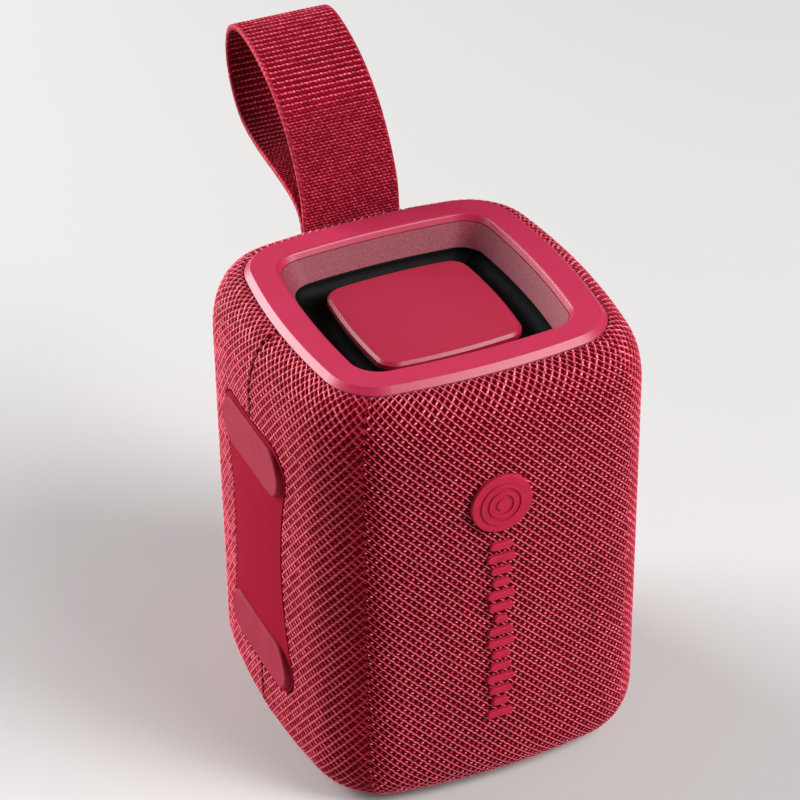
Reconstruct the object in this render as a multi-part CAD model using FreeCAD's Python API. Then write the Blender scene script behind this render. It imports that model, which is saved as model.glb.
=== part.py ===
"""Portable speaker: a fabric-wrapped upright body with a radiator in each end and a webbing loop.

Millimetres, +Z up. The origin is the centre of the bottom ring's resting face. The front,
with the badge, faces -Y, the two feet are on the -X side, and the webbing loop leaves
the back shoulder towards +Y.
"""

import FreeCAD, Part
import math
import os

from FreeCAD import Vector

# ---- driving dimensions -------------------------------------------------------------

WIDTH = 88.0
DEPTH = 90.4
HEIGHT = 115.0
BODY_EXPONENT = 3.56  # how square the body's section is: 2 is an ellipse
CLEAR = 0.15  # gap between pieces of one body
AIR = 0.3  # gap between pieces that move past each other

# end rings, which are the same at both ends
RING_HALF = 36.0
RING_EXPONENT = 4.36
RING_EDGE = 1.5  # height of the bevelled outer edge
RING_PLATE = 2.8
RING_SKIRT = 0.8
WELL_TOP_HALF = 28.4
WELL_BOTTOM_HALF = 25.0
WELL_DEPTH = 7.0
WELL_EXPONENT = 5.8
GROOVE_DROP = 1.5  # line round the well, below its smooth collar
GROOVE_WIDTH = 0.25
GROOVE_DEPTH = 0.2
FUNNEL_WALL = 1.0

# fabric and housing
FABRIC = 1.2
SHOULDER_RISE = 15.4
LOWER_RISE = 11.5  # the lower shoulder is tighter than the upper one
HOUSING_WALL = 2.4

# passive radiators
RADIATOR_HALF = 18.7
RADIATOR_THICK = 1.8
RADIATOR_EDGE = 0.7  # bevel round the plate
RADIATOR_DROP = 5.8  # from the ring's top to the plate's top
RUBBER = 0.5
NECK_HALF = 30.4
SEAT_DROP = 7.6

# foot side, -X
FOOT_LENGTH = 33.3
FOOT_WIDTH = 12.5
FOOT_FACE_X = -44.4
UPPER_FOOT_Z = 84.4
LOWER_FOOT_Z = 28.2
PANEL_MARGIN = 1.1
PANEL_WAIST_HALF = 13.9

# front badge, -Y
BADGE_X = -2.2
BADGE_Z = 85.3
BADGE_RADIUS = 7.5
BADGE_PROUD = 1.0
BARS_TOP_Z = 73.6
BARS_BOTTOM_Z = 25.0
BARS_COUNT = 15
BAR_WIDTH = 1.9
BAR_LONGEST = 7.0

# loudspeaker driver, centred on the front
DRIVER_Z = 57.5
DRIVER_FLANGE_R = 31.0
DRIVER_FRONT_Y = -36.4  # front of the basket's flange
DRIVER_SCREW_R = 28.7

# control side, +X
CONTROL_Z = 57.5
CONTROL_LENGTH = 66.0
CONTROL_WIDTH = 16.0
CONTROL_FACE_X = 44.5
BUTTON_PROUD = 0.5
BUTTONS = {"pair": (-26.5, 3.0), "minus": (-14.0, 4.25), "play": (0.0, 4.25),
           "plus": (14.0, 4.25), "power": (26.5, 3.0)}  # height from the centre, radius
LENS_Z = 20.75

# charging port, +Y
PORT_Z = 30.0
BEZEL_LENGTH = 38.0
BEZEL_HEIGHT = 16.0
BEZEL_FACE_Y = 44.9
COVER_LENGTH = 26.0
COVER_HEIGHT = 12.0
COVER_THICK = 1.7
POCKET_FLOOR_Y = 37.0

# battery and boards
CELL_R = 9.25
CELL_LENGTH = 65.0
CELL_X = 10.5
CELL_Y = 12.0
BOARD_Y = 29.0
BOARD = 1.6

# webbing loop
WEB_WIDTH = 25.0
WEB_THICK = 1.7
STRAP_ROOT_Y = 42.2
STRAP_ROOT_Z = 111.4
STRAP_TILT = -49.7  # the shoulder's outward direction at the root, as a turn about X
# middle line of the webbing, up the near leg, round the tip and back, as (y, z)
STRAP_LINE = [(41.35, 112.2), (42.3, 119.0), (46.2, 127.3), (52.4, 135.3), (61.0, 141.8), (71.0, 145.9),
              (80.0, 147.0), (86.2, 144.0), (88.3, 137.0), (86.0, 128.8), (80.0, 122.4), (70.5, 119.6),
              (59.5, 118.4), (50.3, 117.1), (45.2, 115.0), (43.05, 112.2)]

# screws
CORNER_X = 36.0  # long screws that join the housing's halves
CORNER_Z = 11.5
FRAME_SCREW = 28.4  # radiator frame screws, in x and in y
FRAME_BOSS_LOW = 10.0
BOARD_SCREW_X = 24.0
BOARD_SCREW_Z = (42.0, 90.0)
BUTTON_SCREW_Z = (18.5, 96.5)
HOLDER_SCREW_X = 28.0
HOLDER_SCREW_Z = (36.0, 79.0)
ANCHOR_SCREW_X = 16.6

# ---- worked out from them -----------------------------------------------------------

SHOULDER_TOP = HEIGHT - RING_EDGE
SHOULDER_Z = SHOULDER_TOP - SHOULDER_RISE
LOWER_Z = RING_EDGE + LOWER_RISE
HOUSING_INSET = FABRIC + CLEAR
CAVITY_INSET = HOUSING_INSET + HOUSING_WALL
FRONT_Y = -DEPTH / 2
PANEL_Z = (UPPER_FOOT_Z + LOWER_FOOT_Z) / 2
COVER_PIN_Y = BEZEL_FACE_Y - COVER_THICK / 2 - 0.05
COVER_PIN_Z = PORT_Z - COVER_HEIGHT / 2 + COVER_THICK / 2
X_AXIS = Vector(1, 0, 0)
Y_AXIS = Vector(0, 1, 0)
Z_AXIS = Vector(0, 0, 1)


# ---- shapes used all over -----------------------------------------------------------


def rounded_square(half_x, half_y, exponent, z, inset=0.0):
    """Level wire of eight tangent arcs: four slightly bowed sides and four round corners.

    exponent says how square it is, as in a superellipse. inset moves the whole outline
    inwards by an equal distance."""
    diagonal = 2 ** (-1 / exponent)
    corner = (half_x + half_y) / 2 * math.sqrt(2) * diagonal / (exponent - 1)
    centre_x = half_x * diagonal - corner / math.sqrt(2)
    centre_y = half_y * diagonal - corner / math.sqrt(2)

    def side_radius(half, along, across):
        gap = half - along
        return (corner**2 - gap**2 - across**2) / (2 * (corner - gap))

    radius_x = side_radius(half_x, centre_x, centre_y)
    radius_y = side_radius(half_y, centre_y, centre_x)
    towards_x = Vector(centre_x - half_x + radius_x, centre_y, 0).normalize()
    towards_y = Vector(centre_x, centre_y - half_y + radius_y, 0).normalize()
    meet_x = Vector(half_x - radius_x, 0, 0) + towards_x * (radius_x - inset)
    meet_y = Vector(0, half_y - radius_y, 0) + towards_y * (radius_y - inset)
    tip = Vector(centre_x, centre_y, 0)
    tip += Vector(1, 1, 0).normalize() * (corner - inset)
    # (sign of x, sign of y) of the corners, anticlockwise from the first quarter
    quarters = [(1, 1), (-1, 1), (-1, -1), (1, -1)]
    arcs = []
    for turn, (sx, sy) in enumerate(quarters):
        nx, ny = quarters[(turn + 1) % 4]
        first, last = (meet_x, meet_y) if turn % 2 == 0 else (meet_y, meet_x)
        side = Vector(0, half_y - inset, 0) if turn % 2 == 0 else Vector(half_x - inset, 0, 0)
        middle = Vector(side.x * (sx + nx) / 2, side.y * (sy + ny) / 2, z)
        start = Vector(first.x * sx, first.y * sy, z)
        end = Vector(last.x * sx, last.y * sy, z)
        after = Vector(last.x * nx, last.y * ny, z)
        arcs.append(Part.Arc(start, Vector(tip.x * sx, tip.y * sy, z), end).toShape())
        arcs.append(Part.Arc(end, middle, after).toShape())
    return Part.Wire(arcs)


def well_square(half, z):
    """Outline of the well, the radiator and what lies between them."""
    return rounded_square(half, half, WELL_EXPONENT, z)


def ring_square(half, z):
    """Outline of the end rings."""
    return rounded_square(half, half, RING_EXPONENT, z)


def slab(outline, half, low, high):
    """Upright block with a rounded-square outline."""
    return Part.Face(outline(half, low)).extrude(Vector(0, 0, high - low))


def loft(wires, ruled=False):
    return Part.makeLoft(wires, True, ruled)


def box(x0, x1, y0, y1, z0, z1):
    return Part.makeBox(x1 - x0, y1 - y0, z1 - z0, Vector(x0, y0, z0))


def rod(radius, start, end):
    """Cylinder between two points."""
    start, end = Vector(*start), Vector(*end)
    return Part.makeCylinder(radius, (end - start).Length, start, end - start)


def stadium(length, width, centre, along, normal, depth):
    """Flat bar with round ends. It is centred on a point, runs along one axis and is
    extruded by depth along the other."""
    run = along * ((length - width) / 2)
    across = along.cross(normal).normalize() * (width / 2)
    end = along * (width / 2)
    edges = [
        Part.makeLine(centre - run + across, centre + run + across),
        Part.Arc(centre + run + across, centre + run + end, centre + run - across).toShape(),
        Part.makeLine(centre + run - across, centre - run - across),
        Part.Arc(centre - run - across, centre - run - end, centre - run + across).toShape(),
    ]
    return Part.Face(Part.Wire(edges)).extrude(normal * depth)


def turned(points, height):
    """Solid of revolution about the driver's axis, from (radius, y) corners."""
    ring = [Vector(r, y, height) for r, y in points]
    face = Part.Face(Part.makePolygon(ring + ring[:1]))
    return face.revolve(Vector(0, 0, height), Y_AXIS, 360)


def mirrored(shape):
    """The same piece at the other end of the body."""
    return shape.mirror(Vector(0, 0, HEIGHT / 2), Z_AXIS)


def fused(shapes):
    first, *rest = shapes
    return first.multiFuse(rest).removeSplitter() if rest else first


def drop(depth):
    """Height of a plane this far below the top."""
    return HEIGHT - depth


# ---- body: fabric and housing -------------------------------------------------------


def shoulder_wire(angle, height, inset):
    """Section of a rounded shoulder, from its full width at 0 to the top ring at 90 degrees."""
    spread = math.cos(math.radians(angle))
    rise = math.sin(math.radians(angle))
    half_x = RING_HALF + (WIDTH / 2 - RING_HALF) * spread
    half_y = RING_HALF + (DEPTH / 2 - RING_HALF) * spread
    exponent = RING_EXPONENT + (BODY_EXPONENT - RING_EXPONENT) * spread
    z = SHOULDER_TOP - height + (height - inset) * rise
    return rounded_square(half_x, half_y, exponent, z, inset * spread)


def shoulder(height, inset):
    return loft([shoulder_wire(angle, height, inset) for angle in range(0, 91, 15)])


def body_solid(inset):
    """The whole body's outer shape, moved inwards by inset."""
    waist = rounded_square(WIDTH / 2, DEPTH / 2, BODY_EXPONENT, LOWER_Z, inset)
    middle = Part.Face(waist).extrude(Vector(0, 0, SHOULDER_Z - LOWER_Z))
    return fused([shoulder(SHOULDER_RISE, inset), middle, mirrored(shoulder(LOWER_RISE, inset))])


def foot_panel_outline(margin, depth, x):
    """Waisted plate with a round-ended head at each foot."""
    head = FOOT_WIDTH / 2 + PANEL_MARGIN + margin
    reach = FOOT_LENGTH / 2 + PANEL_MARGIN + margin - head
    waist = PANEL_WAIST_HALF + margin
    lean = math.radians(22)
    neck_y = reach + head * math.cos(lean)
    neck_drop = head * math.sin(lean)
    top, low = UPPER_FOOT_Z, LOWER_FOOT_Z

    def at(y, z):
        return Vector(x, y, z)

    half = [
        [at(reach, top + head), at(reach + head, top), at(neck_y, top - neck_drop)],
        [at(neck_y, top - neck_drop), at(waist, PANEL_Z), at(neck_y, low + neck_drop)],
        [at(neck_y, low + neck_drop), at(reach + head, low), at(reach, low - head)],
    ]
    other = [[at(-p.y, p.z) for p in reversed(arc)] for arc in reversed(half)]
    edges = [Part.makeLine(at(-reach, top + head), at(reach, top + head))]
    edges += [Part.Arc(*arc).toShape() for arc in half]
    edges += [Part.makeLine(at(reach, low - head), at(-reach, low - head))]
    edges += [Part.Arc(*arc).toShape() for arc in other]
    return Part.Face(Part.Wire(edges)).extrude(Vector(depth, 0, 0))


def strap_frame(shape):
    """Turns a shape made around the origin, with +Z outwards, to the strap's root."""
    turned_shape = shape.copy()
    turned_shape.rotate(Vector(0, 0, 0), X_AXIS, STRAP_TILT)
    turned_shape.translate(Vector(0, STRAP_ROOT_Y, STRAP_ROOT_Z))
    return turned_shape


def panel_stadium(length, width, low_x, high_x):
    """Upright stadium on the control side."""
    return stadium(length, width, Vector(low_x, 0, CONTROL_Z), Z_AXIS, X_AXIS, high_x - low_x)


def side_openings(gap):
    """What the foot plate, the control panel, the port and the strap cut out of a wall."""
    port_start = Vector(0, POCKET_FLOOR_Y - 3, PORT_Z)
    port = stadium(BEZEL_LENGTH + 2 * gap, BEZEL_HEIGHT + 2 * gap, port_start, X_AXIS, Y_AXIS, 14)
    control = panel_stadium(CONTROL_LENGTH + 2 * gap, CONTROL_WIDTH + 2 * gap, 36, 48)
    return [port, control]


def strap_slot():
    """Cut through the shoulder, wider towards the ring so that the loop can lean over it."""
    half = WEB_WIDTH / 2 + 2 * AIR
    return strap_frame(box(-half, half, -WEB_THICK - 0.9, WEB_THICK + 0.5, -7, 4))


def fabric_sleeve():
    sleeve = body_solid(0).cut(body_solid(FABRIC))
    ends = slab(ring_square, RING_HALF + CLEAR, -1, HEIGHT + 1)
    cuts = side_openings(CLEAR) + [ends, strap_slot(), foot_panel_outline(CLEAR, 10, -48)]
    return sleeve.cut(cuts)


def housing():
    """Moulded shell with its bosses and ribs, before it is parted."""
    outside = body_solid(HOUSING_INSET)
    shell = outside.cut(body_solid(CAVITY_INSET))
    pad = rod(DRIVER_FLANGE_R + 3, (0, -48, DRIVER_Z), (0, DRIVER_FRONT_Y + 4, DRIVER_Z))
    bosses = [pad]
    for x in (-CORNER_X, CORNER_X):
        for z in (CORNER_Z, drop(CORNER_Z)):
            bosses.append(rod(3.0, (x, -8, z), (x, 8, z)))
    for x in (-BOARD_SCREW_X, BOARD_SCREW_X):
        bosses += [rod(2.8, (x, BOARD_Y + BOARD + CLEAR, z), (x, 43, z)) for z in BOARD_SCREW_Z]
    bosses += [box(-42, -26, 23.5, 26.0, 30, 85), box(26, 42, 23.5, 26.0, 30, 85)]
    for z in BUTTON_SCREW_Z:
        bosses.append(rod(2.3, (36.0, 0, z), (42, 0, z)))
    for x in (-1, 1):
        for y in (-1, 1):
            for low in (drop(FRAME_BOSS_LOW), FRAME_BOSS_LOW - 7):
                bosses.append(rod(2.6, (FRAME_SCREW * x, FRAME_SCREW * y, low),
                                  (FRAME_SCREW * x, FRAME_SCREW * y, low + 7)))
        bosses.append(strap_frame(rod(2.6, (ANCHOR_SCREW_X * x, 0, -7.2), (ANCHOR_SCREW_X * x, 0, -1))))
    shell = shell.fuse([piece.common(outside) for piece in bosses])
    cuts = [slab(well_square, NECK_HALF + AIR, -1, HEIGHT + 1)] + side_openings(CLEAR)
    cuts.append(strap_slot())
    cuts.append(rod(DRIVER_FLANGE_R + AIR, (0, -50, DRIVER_Z), (0, DRIVER_FRONT_Y + 1.45, DRIVER_Z)))
    cuts.append(rod(26.0, (0, -40, DRIVER_Z), (0, -30, DRIVER_Z)))
    cuts += driver_screw_shanks(0.85) + anchor_screw_shanks(0.85)
    cuts += board_screw_shanks(0.85) + holder_screw_shanks(0.85) + button_screw_shanks(0.85)
    cuts += frame_screw_shanks(0.85) + [mirrored(s) for s in frame_screw_shanks(0.85)]
    cuts += housing_screw_shanks(1.05)
    return shell.cut(cuts)


def housing_halves():
    whole = housing()
    front = whole.cut(box(-60, 60, -0.05, 60, -10, HEIGHT + 10))
    back = whole.cut(box(-60, 60, -60, 0.05, -10, HEIGHT + 10))
    return front, back


# ---- screws -------------------------------------------------------------------------


def screw(start, direction, length, head_radius=1.6, head=1.1, shank=0.8):
    """Pan-head screw. start is the underside of its head and direction points along its shank."""
    start, direction = Vector(*start), Vector(*direction)
    body = Part.makeCylinder(shank, length, start, direction)
    cap = Part.makeCylinder(head_radius, head, start - direction * head, direction)
    recess = Part.makeCylinder(0.55, head * 0.6, start - direction * head, direction)
    return cap.fuse(body).cut(recess)


def shank(start, direction, length, radius):
    return Part.makeCylinder(radius, length, Vector(*start), Vector(*direction))


def frame_screw_shanks(radius):
    start_z = drop(RING_EDGE + 0.1)
    return [shank((FRAME_SCREW * x, FRAME_SCREW * y, start_z), (0, 0, -1), 8.0, radius)
            for x in (-1, 1) for y in (-1, 1)]


def frame_screws():
    """Countersunk screws that lie flush in the radiator frame's flange."""
    top = drop(RING_EDGE + 0.15)
    screws = []
    for body in frame_screw_shanks(0.75):
        x, y = body.CenterOfMass.x, body.CenterOfMass.y
        head = Part.makeCone(0.75, 1.5, 0.8, Vector(x, y, top - 0.8), Z_AXIS)
        low = body.common(box(-50, 50, -50, 50, 0, top - 0.4))
        drive = Part.makeCylinder(0.5, 0.5, Vector(x, y, top - 0.5), Z_AXIS)
        screws.append(head.fuse(low).cut(drive))
    return Part.makeCompound(screws)


def driver_screw_points():
    for turn in (45, 135, 225, 315):
        angle = math.radians(turn)
        yield DRIVER_SCREW_R * math.cos(angle), DRIVER_Z + DRIVER_SCREW_R * math.sin(angle)


def driver_screw_shanks(radius):
    return [shank((x, DRIVER_FRONT_Y, z), (0, 1, 0), 6.0, radius) for x, z in driver_screw_points()]


def driver_screws():
    return Part.makeCompound([screw((x, DRIVER_FRONT_Y - 0.02, z), (0, 1, 0), 5.0, 1.5, 0.6, 0.75)
                              for x, z in driver_screw_points()])


def anchor_screw_shanks(radius):
    return [strap_frame(shank((ANCHOR_SCREW_X * x, 0, -10.2), (0, 0, 1), 7.5, radius)) for x in (-1, 1)]


def anchor_screws():
    places = [(ANCHOR_SCREW_X * x, 0, -10.25) for x in (-1, 1)]
    screws = [strap_frame(screw(place, (0, 0, 1), 6.5, 1.6, 1.0, 0.75)) for place in places]
    return Part.makeCompound(screws)


def board_screw_shanks(radius):
    return [shank((x, BOARD_Y - 0.05, z), (0, 1, 0), 7.5, radius)
            for x in (-BOARD_SCREW_X, BOARD_SCREW_X) for z in BOARD_SCREW_Z]


def board_screws():
    return Part.makeCompound([screw((x, BOARD_Y - 0.05, z), (0, 1, 0), 6.0, shank=0.75)
                              for x in (-BOARD_SCREW_X, BOARD_SCREW_X) for z in BOARD_SCREW_Z])


def holder_screw_shanks(radius):
    return [shank((x, 21.7, z), (0, 1, 0), 4.2, radius)
            for x in (-HOLDER_SCREW_X, HOLDER_SCREW_X) for z in HOLDER_SCREW_Z]


def holder_screws():
    return Part.makeCompound([screw((x, 21.7, z), (0, 1, 0), 3.8, shank=0.75)
                              for x in (-HOLDER_SCREW_X, HOLDER_SCREW_X) for z in HOLDER_SCREW_Z])


def button_screw_shanks(radius):
    return [shank((34.5, 0, z), (1, 0, 0), 5.5, radius) for z in BUTTON_SCREW_Z]


def button_board_screws():
    return Part.makeCompound([screw((34.5, 0, z), (1, 0, 0), 5.0, shank=0.75) for z in BUTTON_SCREW_Z])


def housing_screw_shanks(radius):
    return [shank((x, -8, z), (0, 1, 0), 15.0, radius)
            for x in (-CORNER_X, CORNER_X) for z in (CORNER_Z, drop(CORNER_Z))]


def housing_screws():
    return Part.makeCompound([screw((x, -8.05, z), (0, 1, 0), 14.0, 1.9, 1.4, 0.95)
                              for x in (-CORNER_X, CORNER_X) for z in (CORNER_Z, drop(CORNER_Z))])


# ---- end ring and passive radiator --------------------------------------------------


def ring_corner_radius_edges(shape, half_low, half_high, z):
    """Edges of a level outline whose half width lies between two values."""
    found = []
    for edge in shape.Edges:
        b = edge.BoundBox
        reach = max(abs(b.XMin), abs(b.XMax), abs(b.YMin), abs(b.YMax))
        if abs(b.ZMin - z) < 0.01 and abs(b.ZMax - z) < 0.01 and half_low < reach < half_high:
            found.append(edge)
    return found


def top_ring():
    """Trim ring: a skirted plate with a funnel down to the radiator's surround."""
    plate_low = drop(RING_PLATE)
    plate = slab(ring_square, RING_HALF, plate_low, HEIGHT)
    edge = ring_corner_radius_edges(plate, 25, 37, HEIGHT)
    plate = plate.makeChamfer(RING_EDGE - 0.1, edge)
    plate = plate.cut(slab(ring_square, RING_HALF - RING_SKIRT, plate_low - 1, drop(RING_EDGE)))
    funnel = loft([well_square(WELL_BOTTOM_HALF + FUNNEL_WALL, drop(WELL_DEPTH)),
                   well_square(WELL_TOP_HALF + 0.6, drop(RING_EDGE) + 0.5)], True)
    ring = plate.fuse(funnel)
    slope = (WELL_TOP_HALF - WELL_BOTTOM_HALF) / WELL_DEPTH
    well = loft([well_square(WELL_BOTTOM_HALF - slope, drop(WELL_DEPTH + 1)),
                 well_square(WELL_TOP_HALF + slope, drop(-1))], True)
    groove_half = WELL_TOP_HALF - slope * GROOVE_DROP + GROOVE_DEPTH
    groove = slab(well_square, groove_half, drop(GROOVE_DROP + GROOVE_WIDTH), drop(GROOVE_DROP))
    ring = ring.cut([well, groove])
    lip = ring_corner_radius_edges(ring, WELL_TOP_HALF - 4, WELL_TOP_HALF + 0.5, HEIGHT)
    return ring.makeFillet(0.8, lip)


def radiator_frame():
    """Flange under the ring, a neck through the housing and a seat for the surround."""
    flange_top = drop(RING_EDGE + 0.1)
    flange_low = drop(RING_PLATE - 0.05)
    seat = drop(SEAT_DROP)
    flange = slab(ring_square, RING_HALF - RING_SKIRT - CLEAR, flange_low, flange_top)
    neck = slab(well_square, NECK_HALF, seat - 1.2, flange_top)
    frame = flange.fuse(neck)
    bore = slab(well_square, NECK_HALF - 0.7, seat, HEIGHT)
    eye = slab(well_square, WELL_BOTTOM_HALF + 1.2, seat - 2, HEIGHT)
    holes = []
    for x in (-1, 1):
        for y in (-1, 1):
            sink = Vector(FRAME_SCREW * x, FRAME_SCREW * y, flange_top - 0.85)
            holes.append(Part.makeCone(0.85, 1.75, 0.9, sink, Z_AXIS))
    return frame.cut([bore, eye] + holes + frame_screw_shanks(0.85))


def radiator_surround():
    """Rubber half-roll between the frame's seat and the radiator, dipping inwards."""
    rim_z = drop(SEAT_DROP) + RUBBER / 2 + 0.02
    plate_z = drop(RADIATOR_DROP + RADIATOR_THICK) - RUBBER / 2 - 0.02
    outer, inner = WELL_BOTTOM_HALF + 0.6, RADIATOR_HALF - 0.3
    middle, radius = (outer + inner) / 2, (outer - inner) / 2

    def bowl(grow, start, stop):
        """Solid inside the roll's surface, between two angles around the roll."""
        wires = []
        for step in range(7):
            angle = math.radians(start + (stop - start) * step / 6)
            reach = (radius + grow) * math.cos(angle)
            level = (rim_z + plate_z) / 2 + (rim_z - plate_z) / 2 * math.cos(angle)
            wires.append(well_square(middle + reach, level - (radius + grow) * math.sin(angle)))
        return loft(wires)

    half = RUBBER / 2
    trench = bowl(-half, 0, 90).cut(bowl(-half, 180, 90))
    roll = bowl(half, 0, 90).cut(trench).cut(bowl(half, 180, 90))
    rim = slab(well_square, NECK_HALF - 0.9, rim_z - half, rim_z + half)
    rim = rim.cut(slab(well_square, outer - 0.1, rim_z - 2, rim_z + 2))
    lip = slab(well_square, inner + 0.1, plate_z - half, plate_z + half)
    lip = lip.cut(slab(well_square, 14.0, plate_z - 2, plate_z + 2))
    return fused([roll, rim, lip])


def radiator_plate():
    top = drop(RADIATOR_DROP)
    plate = slab(well_square, RADIATOR_HALF, top - RADIATOR_THICK, top)
    return plate.makeChamfer(RADIATOR_EDGE, ring_corner_radius_edges(plate, 10, RADIATOR_HALF + 0.2, top))


def radiator_weight():
    low = drop(RADIATOR_DROP + RADIATOR_THICK)
    return slab(well_square, 13.5, low - 4.8, low)


# ---- loudspeaker driver -------------------------------------------------------------


def driver_guard():
    """Perforated steel disc between the cone and the fabric."""
    face = DRIVER_FRONT_Y - 3.3
    disc = rod(DRIVER_FLANGE_R - 0.1, (0, face, DRIVER_Z), (0, face + 0.8, DRIVER_Z))
    holes = []
    for row in range(-5, 6):
        for column in range(-5, 6):
            x = 4.8 * (column + 0.5 * (row % 2))
            z = 4.8 * math.sqrt(0.75) * row
            if math.hypot(x, z) < 24.5:
                holes.append(rod(1.7, (x, face - 1, DRIVER_Z + z), (x, face + 2, DRIVER_Z + z)))
    return disc.cut(holes)


def driver_gasket():
    front = DRIVER_FRONT_Y - 2.4
    ring = turned([(26.2, front), (DRIVER_FLANGE_R, front), (DRIVER_FLANGE_R, DRIVER_FRONT_Y - 0.05),
                   (26.2, DRIVER_FRONT_Y - 0.05)], DRIVER_Z)
    low, high = front - 1, DRIVER_FRONT_Y + 1
    return ring.cut([rod(1.7, (x, low, z), (x, high, z)) for x, z in driver_screw_points()])


def driver_basket():
    """Pressed steel frame with four windows."""
    front = DRIVER_FRONT_Y
    skin = turned([(24.0, front), (DRIVER_FLANGE_R, front), (DRIVER_FLANGE_R, front + 1.4),
                   (25.5, front + 1.4), (22.6, front + 12.2), (22.6, front + 13.3), (12.0, front + 13.3),
                   (12.0, front + 12.2), (21.4, front + 12.2), (21.4, front + 8.9), (24.0, front + 1.0)],
                  DRIVER_Z)
    windows = []
    for turn in range(4):
        window = box(-9, 9, front + 2.6, front + 7.6, 15, 40)
        window.rotate(Vector(0, 0, 0), Y_AXIS, 90 * turn)
        window.translate(Vector(0, 0, DRIVER_Z))
        windows.append(window)
    return skin.cut(windows + driver_screw_shanks(0.85))


def driver_surround():
    """Half-roll of rubber between the basket's flange and the cone."""
    seat = DRIVER_FRONT_Y - 0.05
    centre = Vector(22.4, seat - 0.25, DRIVER_Z)
    roll = []
    for radius in (2.15, 1.75):
        disc = Part.Face(Part.Wire([
            Part.Arc(centre + Vector(radius, 0, 0), centre + Vector(0, -radius, 0),
                     centre - Vector(radius, 0, 0)).toShape(),
            Part.makeLine(centre - Vector(radius, 0, 0), centre + Vector(radius, 0, 0))]))
        roll.append(disc.revolve(Vector(0, 0, DRIVER_Z), Y_AXIS, 360))
    rim = turned([(24.2, seat - 0.4), (26.0, seat - 0.4), (26.0, seat), (24.2, seat)], DRIVER_Z)
    return fused([roll[0].cut(roll[1]), rim])


def driver_cone():
    front = DRIVER_FRONT_Y
    return turned([(20.2, front - 0.25), (20.2, front + 0.3), (10.7, front + 7.0), (10.7, front + 8.0),
                   (9.9, front + 8.0), (9.9, front + 6.7), (19.0, front + 0.3), (19.0, front - 0.25)],
                  DRIVER_Z)


def dust_cap():
    """Shallow dome glued on the cone."""
    rim_y = DRIVER_FRONT_Y + 4.0
    radius, rise = 11.5, 3.2
    sphere = (radius**2 + rise**2) / (2 * rise)
    centre = Vector(0, rim_y - rise + sphere, DRIVER_Z)
    dome = Part.makeSphere(sphere, centre).cut(Part.makeSphere(sphere - 0.4, centre))
    return dome.common(rod(radius, (0, rim_y - 10, DRIVER_Z), (0, rim_y, DRIVER_Z)))


def voice_coil():
    front = DRIVER_FRONT_Y
    return turned([(9.9, front + 8.1), (10.3, front + 8.1), (10.3, front + 14.0), (10.8, front + 14.0),
                   (10.8, front + 18.0), (9.9, front + 18.0)], DRIVER_Z)


def spider():
    """Corrugated cloth disc that centres the coil."""
    low = DRIVER_FRONT_Y + 10.2
    inner, outer, waves = 10.5, 21.2, 5
    top = []
    for step in range(2 * waves + 1):
        top.append((inner + (outer - inner) * step / (2 * waves), low + (0.6 if step % 2 else 0.0)))
    return turned(top + [(r, y + 0.4) for r, y in reversed(top)], DRIVER_Z)


def driver_ring(inner, outer, near, far):
    front = DRIVER_FRONT_Y
    corners = [(inner, near), (outer, near), (outer, far), (inner, far)]
    return turned([(radius, front + depth) for radius, depth in corners], DRIVER_Z)


def driver_yoke():
    front = DRIVER_FRONT_Y
    return turned([(0, front + 13.8), (9.5, front + 13.8), (9.5, front + 24.4), (22.0, front + 24.4),
                   (22.0, front + 27.0), (0, front + 27.0)], DRIVER_Z)


# ---- battery and boards -------------------------------------------------------------


def battery_cell(side):
    low = DRIVER_Z - CELL_LENGTH / 2
    can = Part.makeCylinder(CELL_R, CELL_LENGTH - 0.8, Vector(CELL_X * side, CELL_Y, low), Z_AXIS)
    can = can.makeFillet(0.8, [e for e in can.Edges if e.Curve.TypeId == "Part::GeomCircle"])
    cap = Part.makeCylinder(3.0, 1.6, Vector(CELL_X * side, CELL_Y, low + CELL_LENGTH - 1.6), Z_AXIS)
    return can.fuse(cap)


def battery_holder():
    """Cradle with end walls and screw ears."""
    low, high = DRIVER_Z - CELL_LENGTH / 2 - 2.0, DRIVER_Z + CELL_LENGTH / 2 + 2.0
    block = box(-21.5, 21.5, 9.0, 23.2, low, high)
    ears = box(-31.5, 31.5, 21.8, 23.2, 30, 85)
    inside = box(-20.0, 20.0, 0, CELL_Y, low + 1.6, high - 1.6)
    beds = [Part.makeCylinder(CELL_R + CLEAR, CELL_LENGTH + 0.6,
                              Vector(CELL_X * side, CELL_Y, DRIVER_Z - CELL_LENGTH / 2 - 0.3), Z_AXIS)
            for side in (-1, 1)]
    return block.fuse(ears).cut([inside] + beds + holder_screw_shanks(0.85))


def main_board():
    plate = box(-28, 28, BOARD_Y, BOARD_Y + BOARD, 38, 95)
    return plate.cut(board_screw_shanks(0.9))


def board_chips():
    """The larger parts on the main board: amplifier, charger, radio can, inductors and sockets."""
    face = BOARD_Y - 0.02
    chips = [box(-12, -4, face - 1.2, face, 70, 78), box(4, 9, face - 1.0, face, 72, 77),
             box(-20, -8, face - 1.8, face, 48, 62), box(12, 19, face - 4.0, face, 84, 91)]
    for step in range(3):
        x = 2.5 + 7.5 * step
        chips.append(Part.makeCylinder(2.6, 3.0, Vector(x, face, 54), Vector(0, -1, 0)))
    return Part.makeCompound(chips)


def button_board():
    plate = box(34.6, 35.8, -7.5, 7.5, 15.5, 99.5)
    return plate.cut(button_screw_shanks(0.9))


def button_switches():
    bodies = []
    for height, _ in BUTTONS.values():
        z = CONTROL_Z + height
        plunger = rod(1.1, (36.2, 0, z), (36.6, 0, z))
        bodies.append(box(35.82, 36.3, -2.2, 2.2, z - 2.2, z + 2.2).fuse(plunger))
    return Part.makeCompound(bodies)


# ---- controls -----------------------------------------------------------------------


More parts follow.
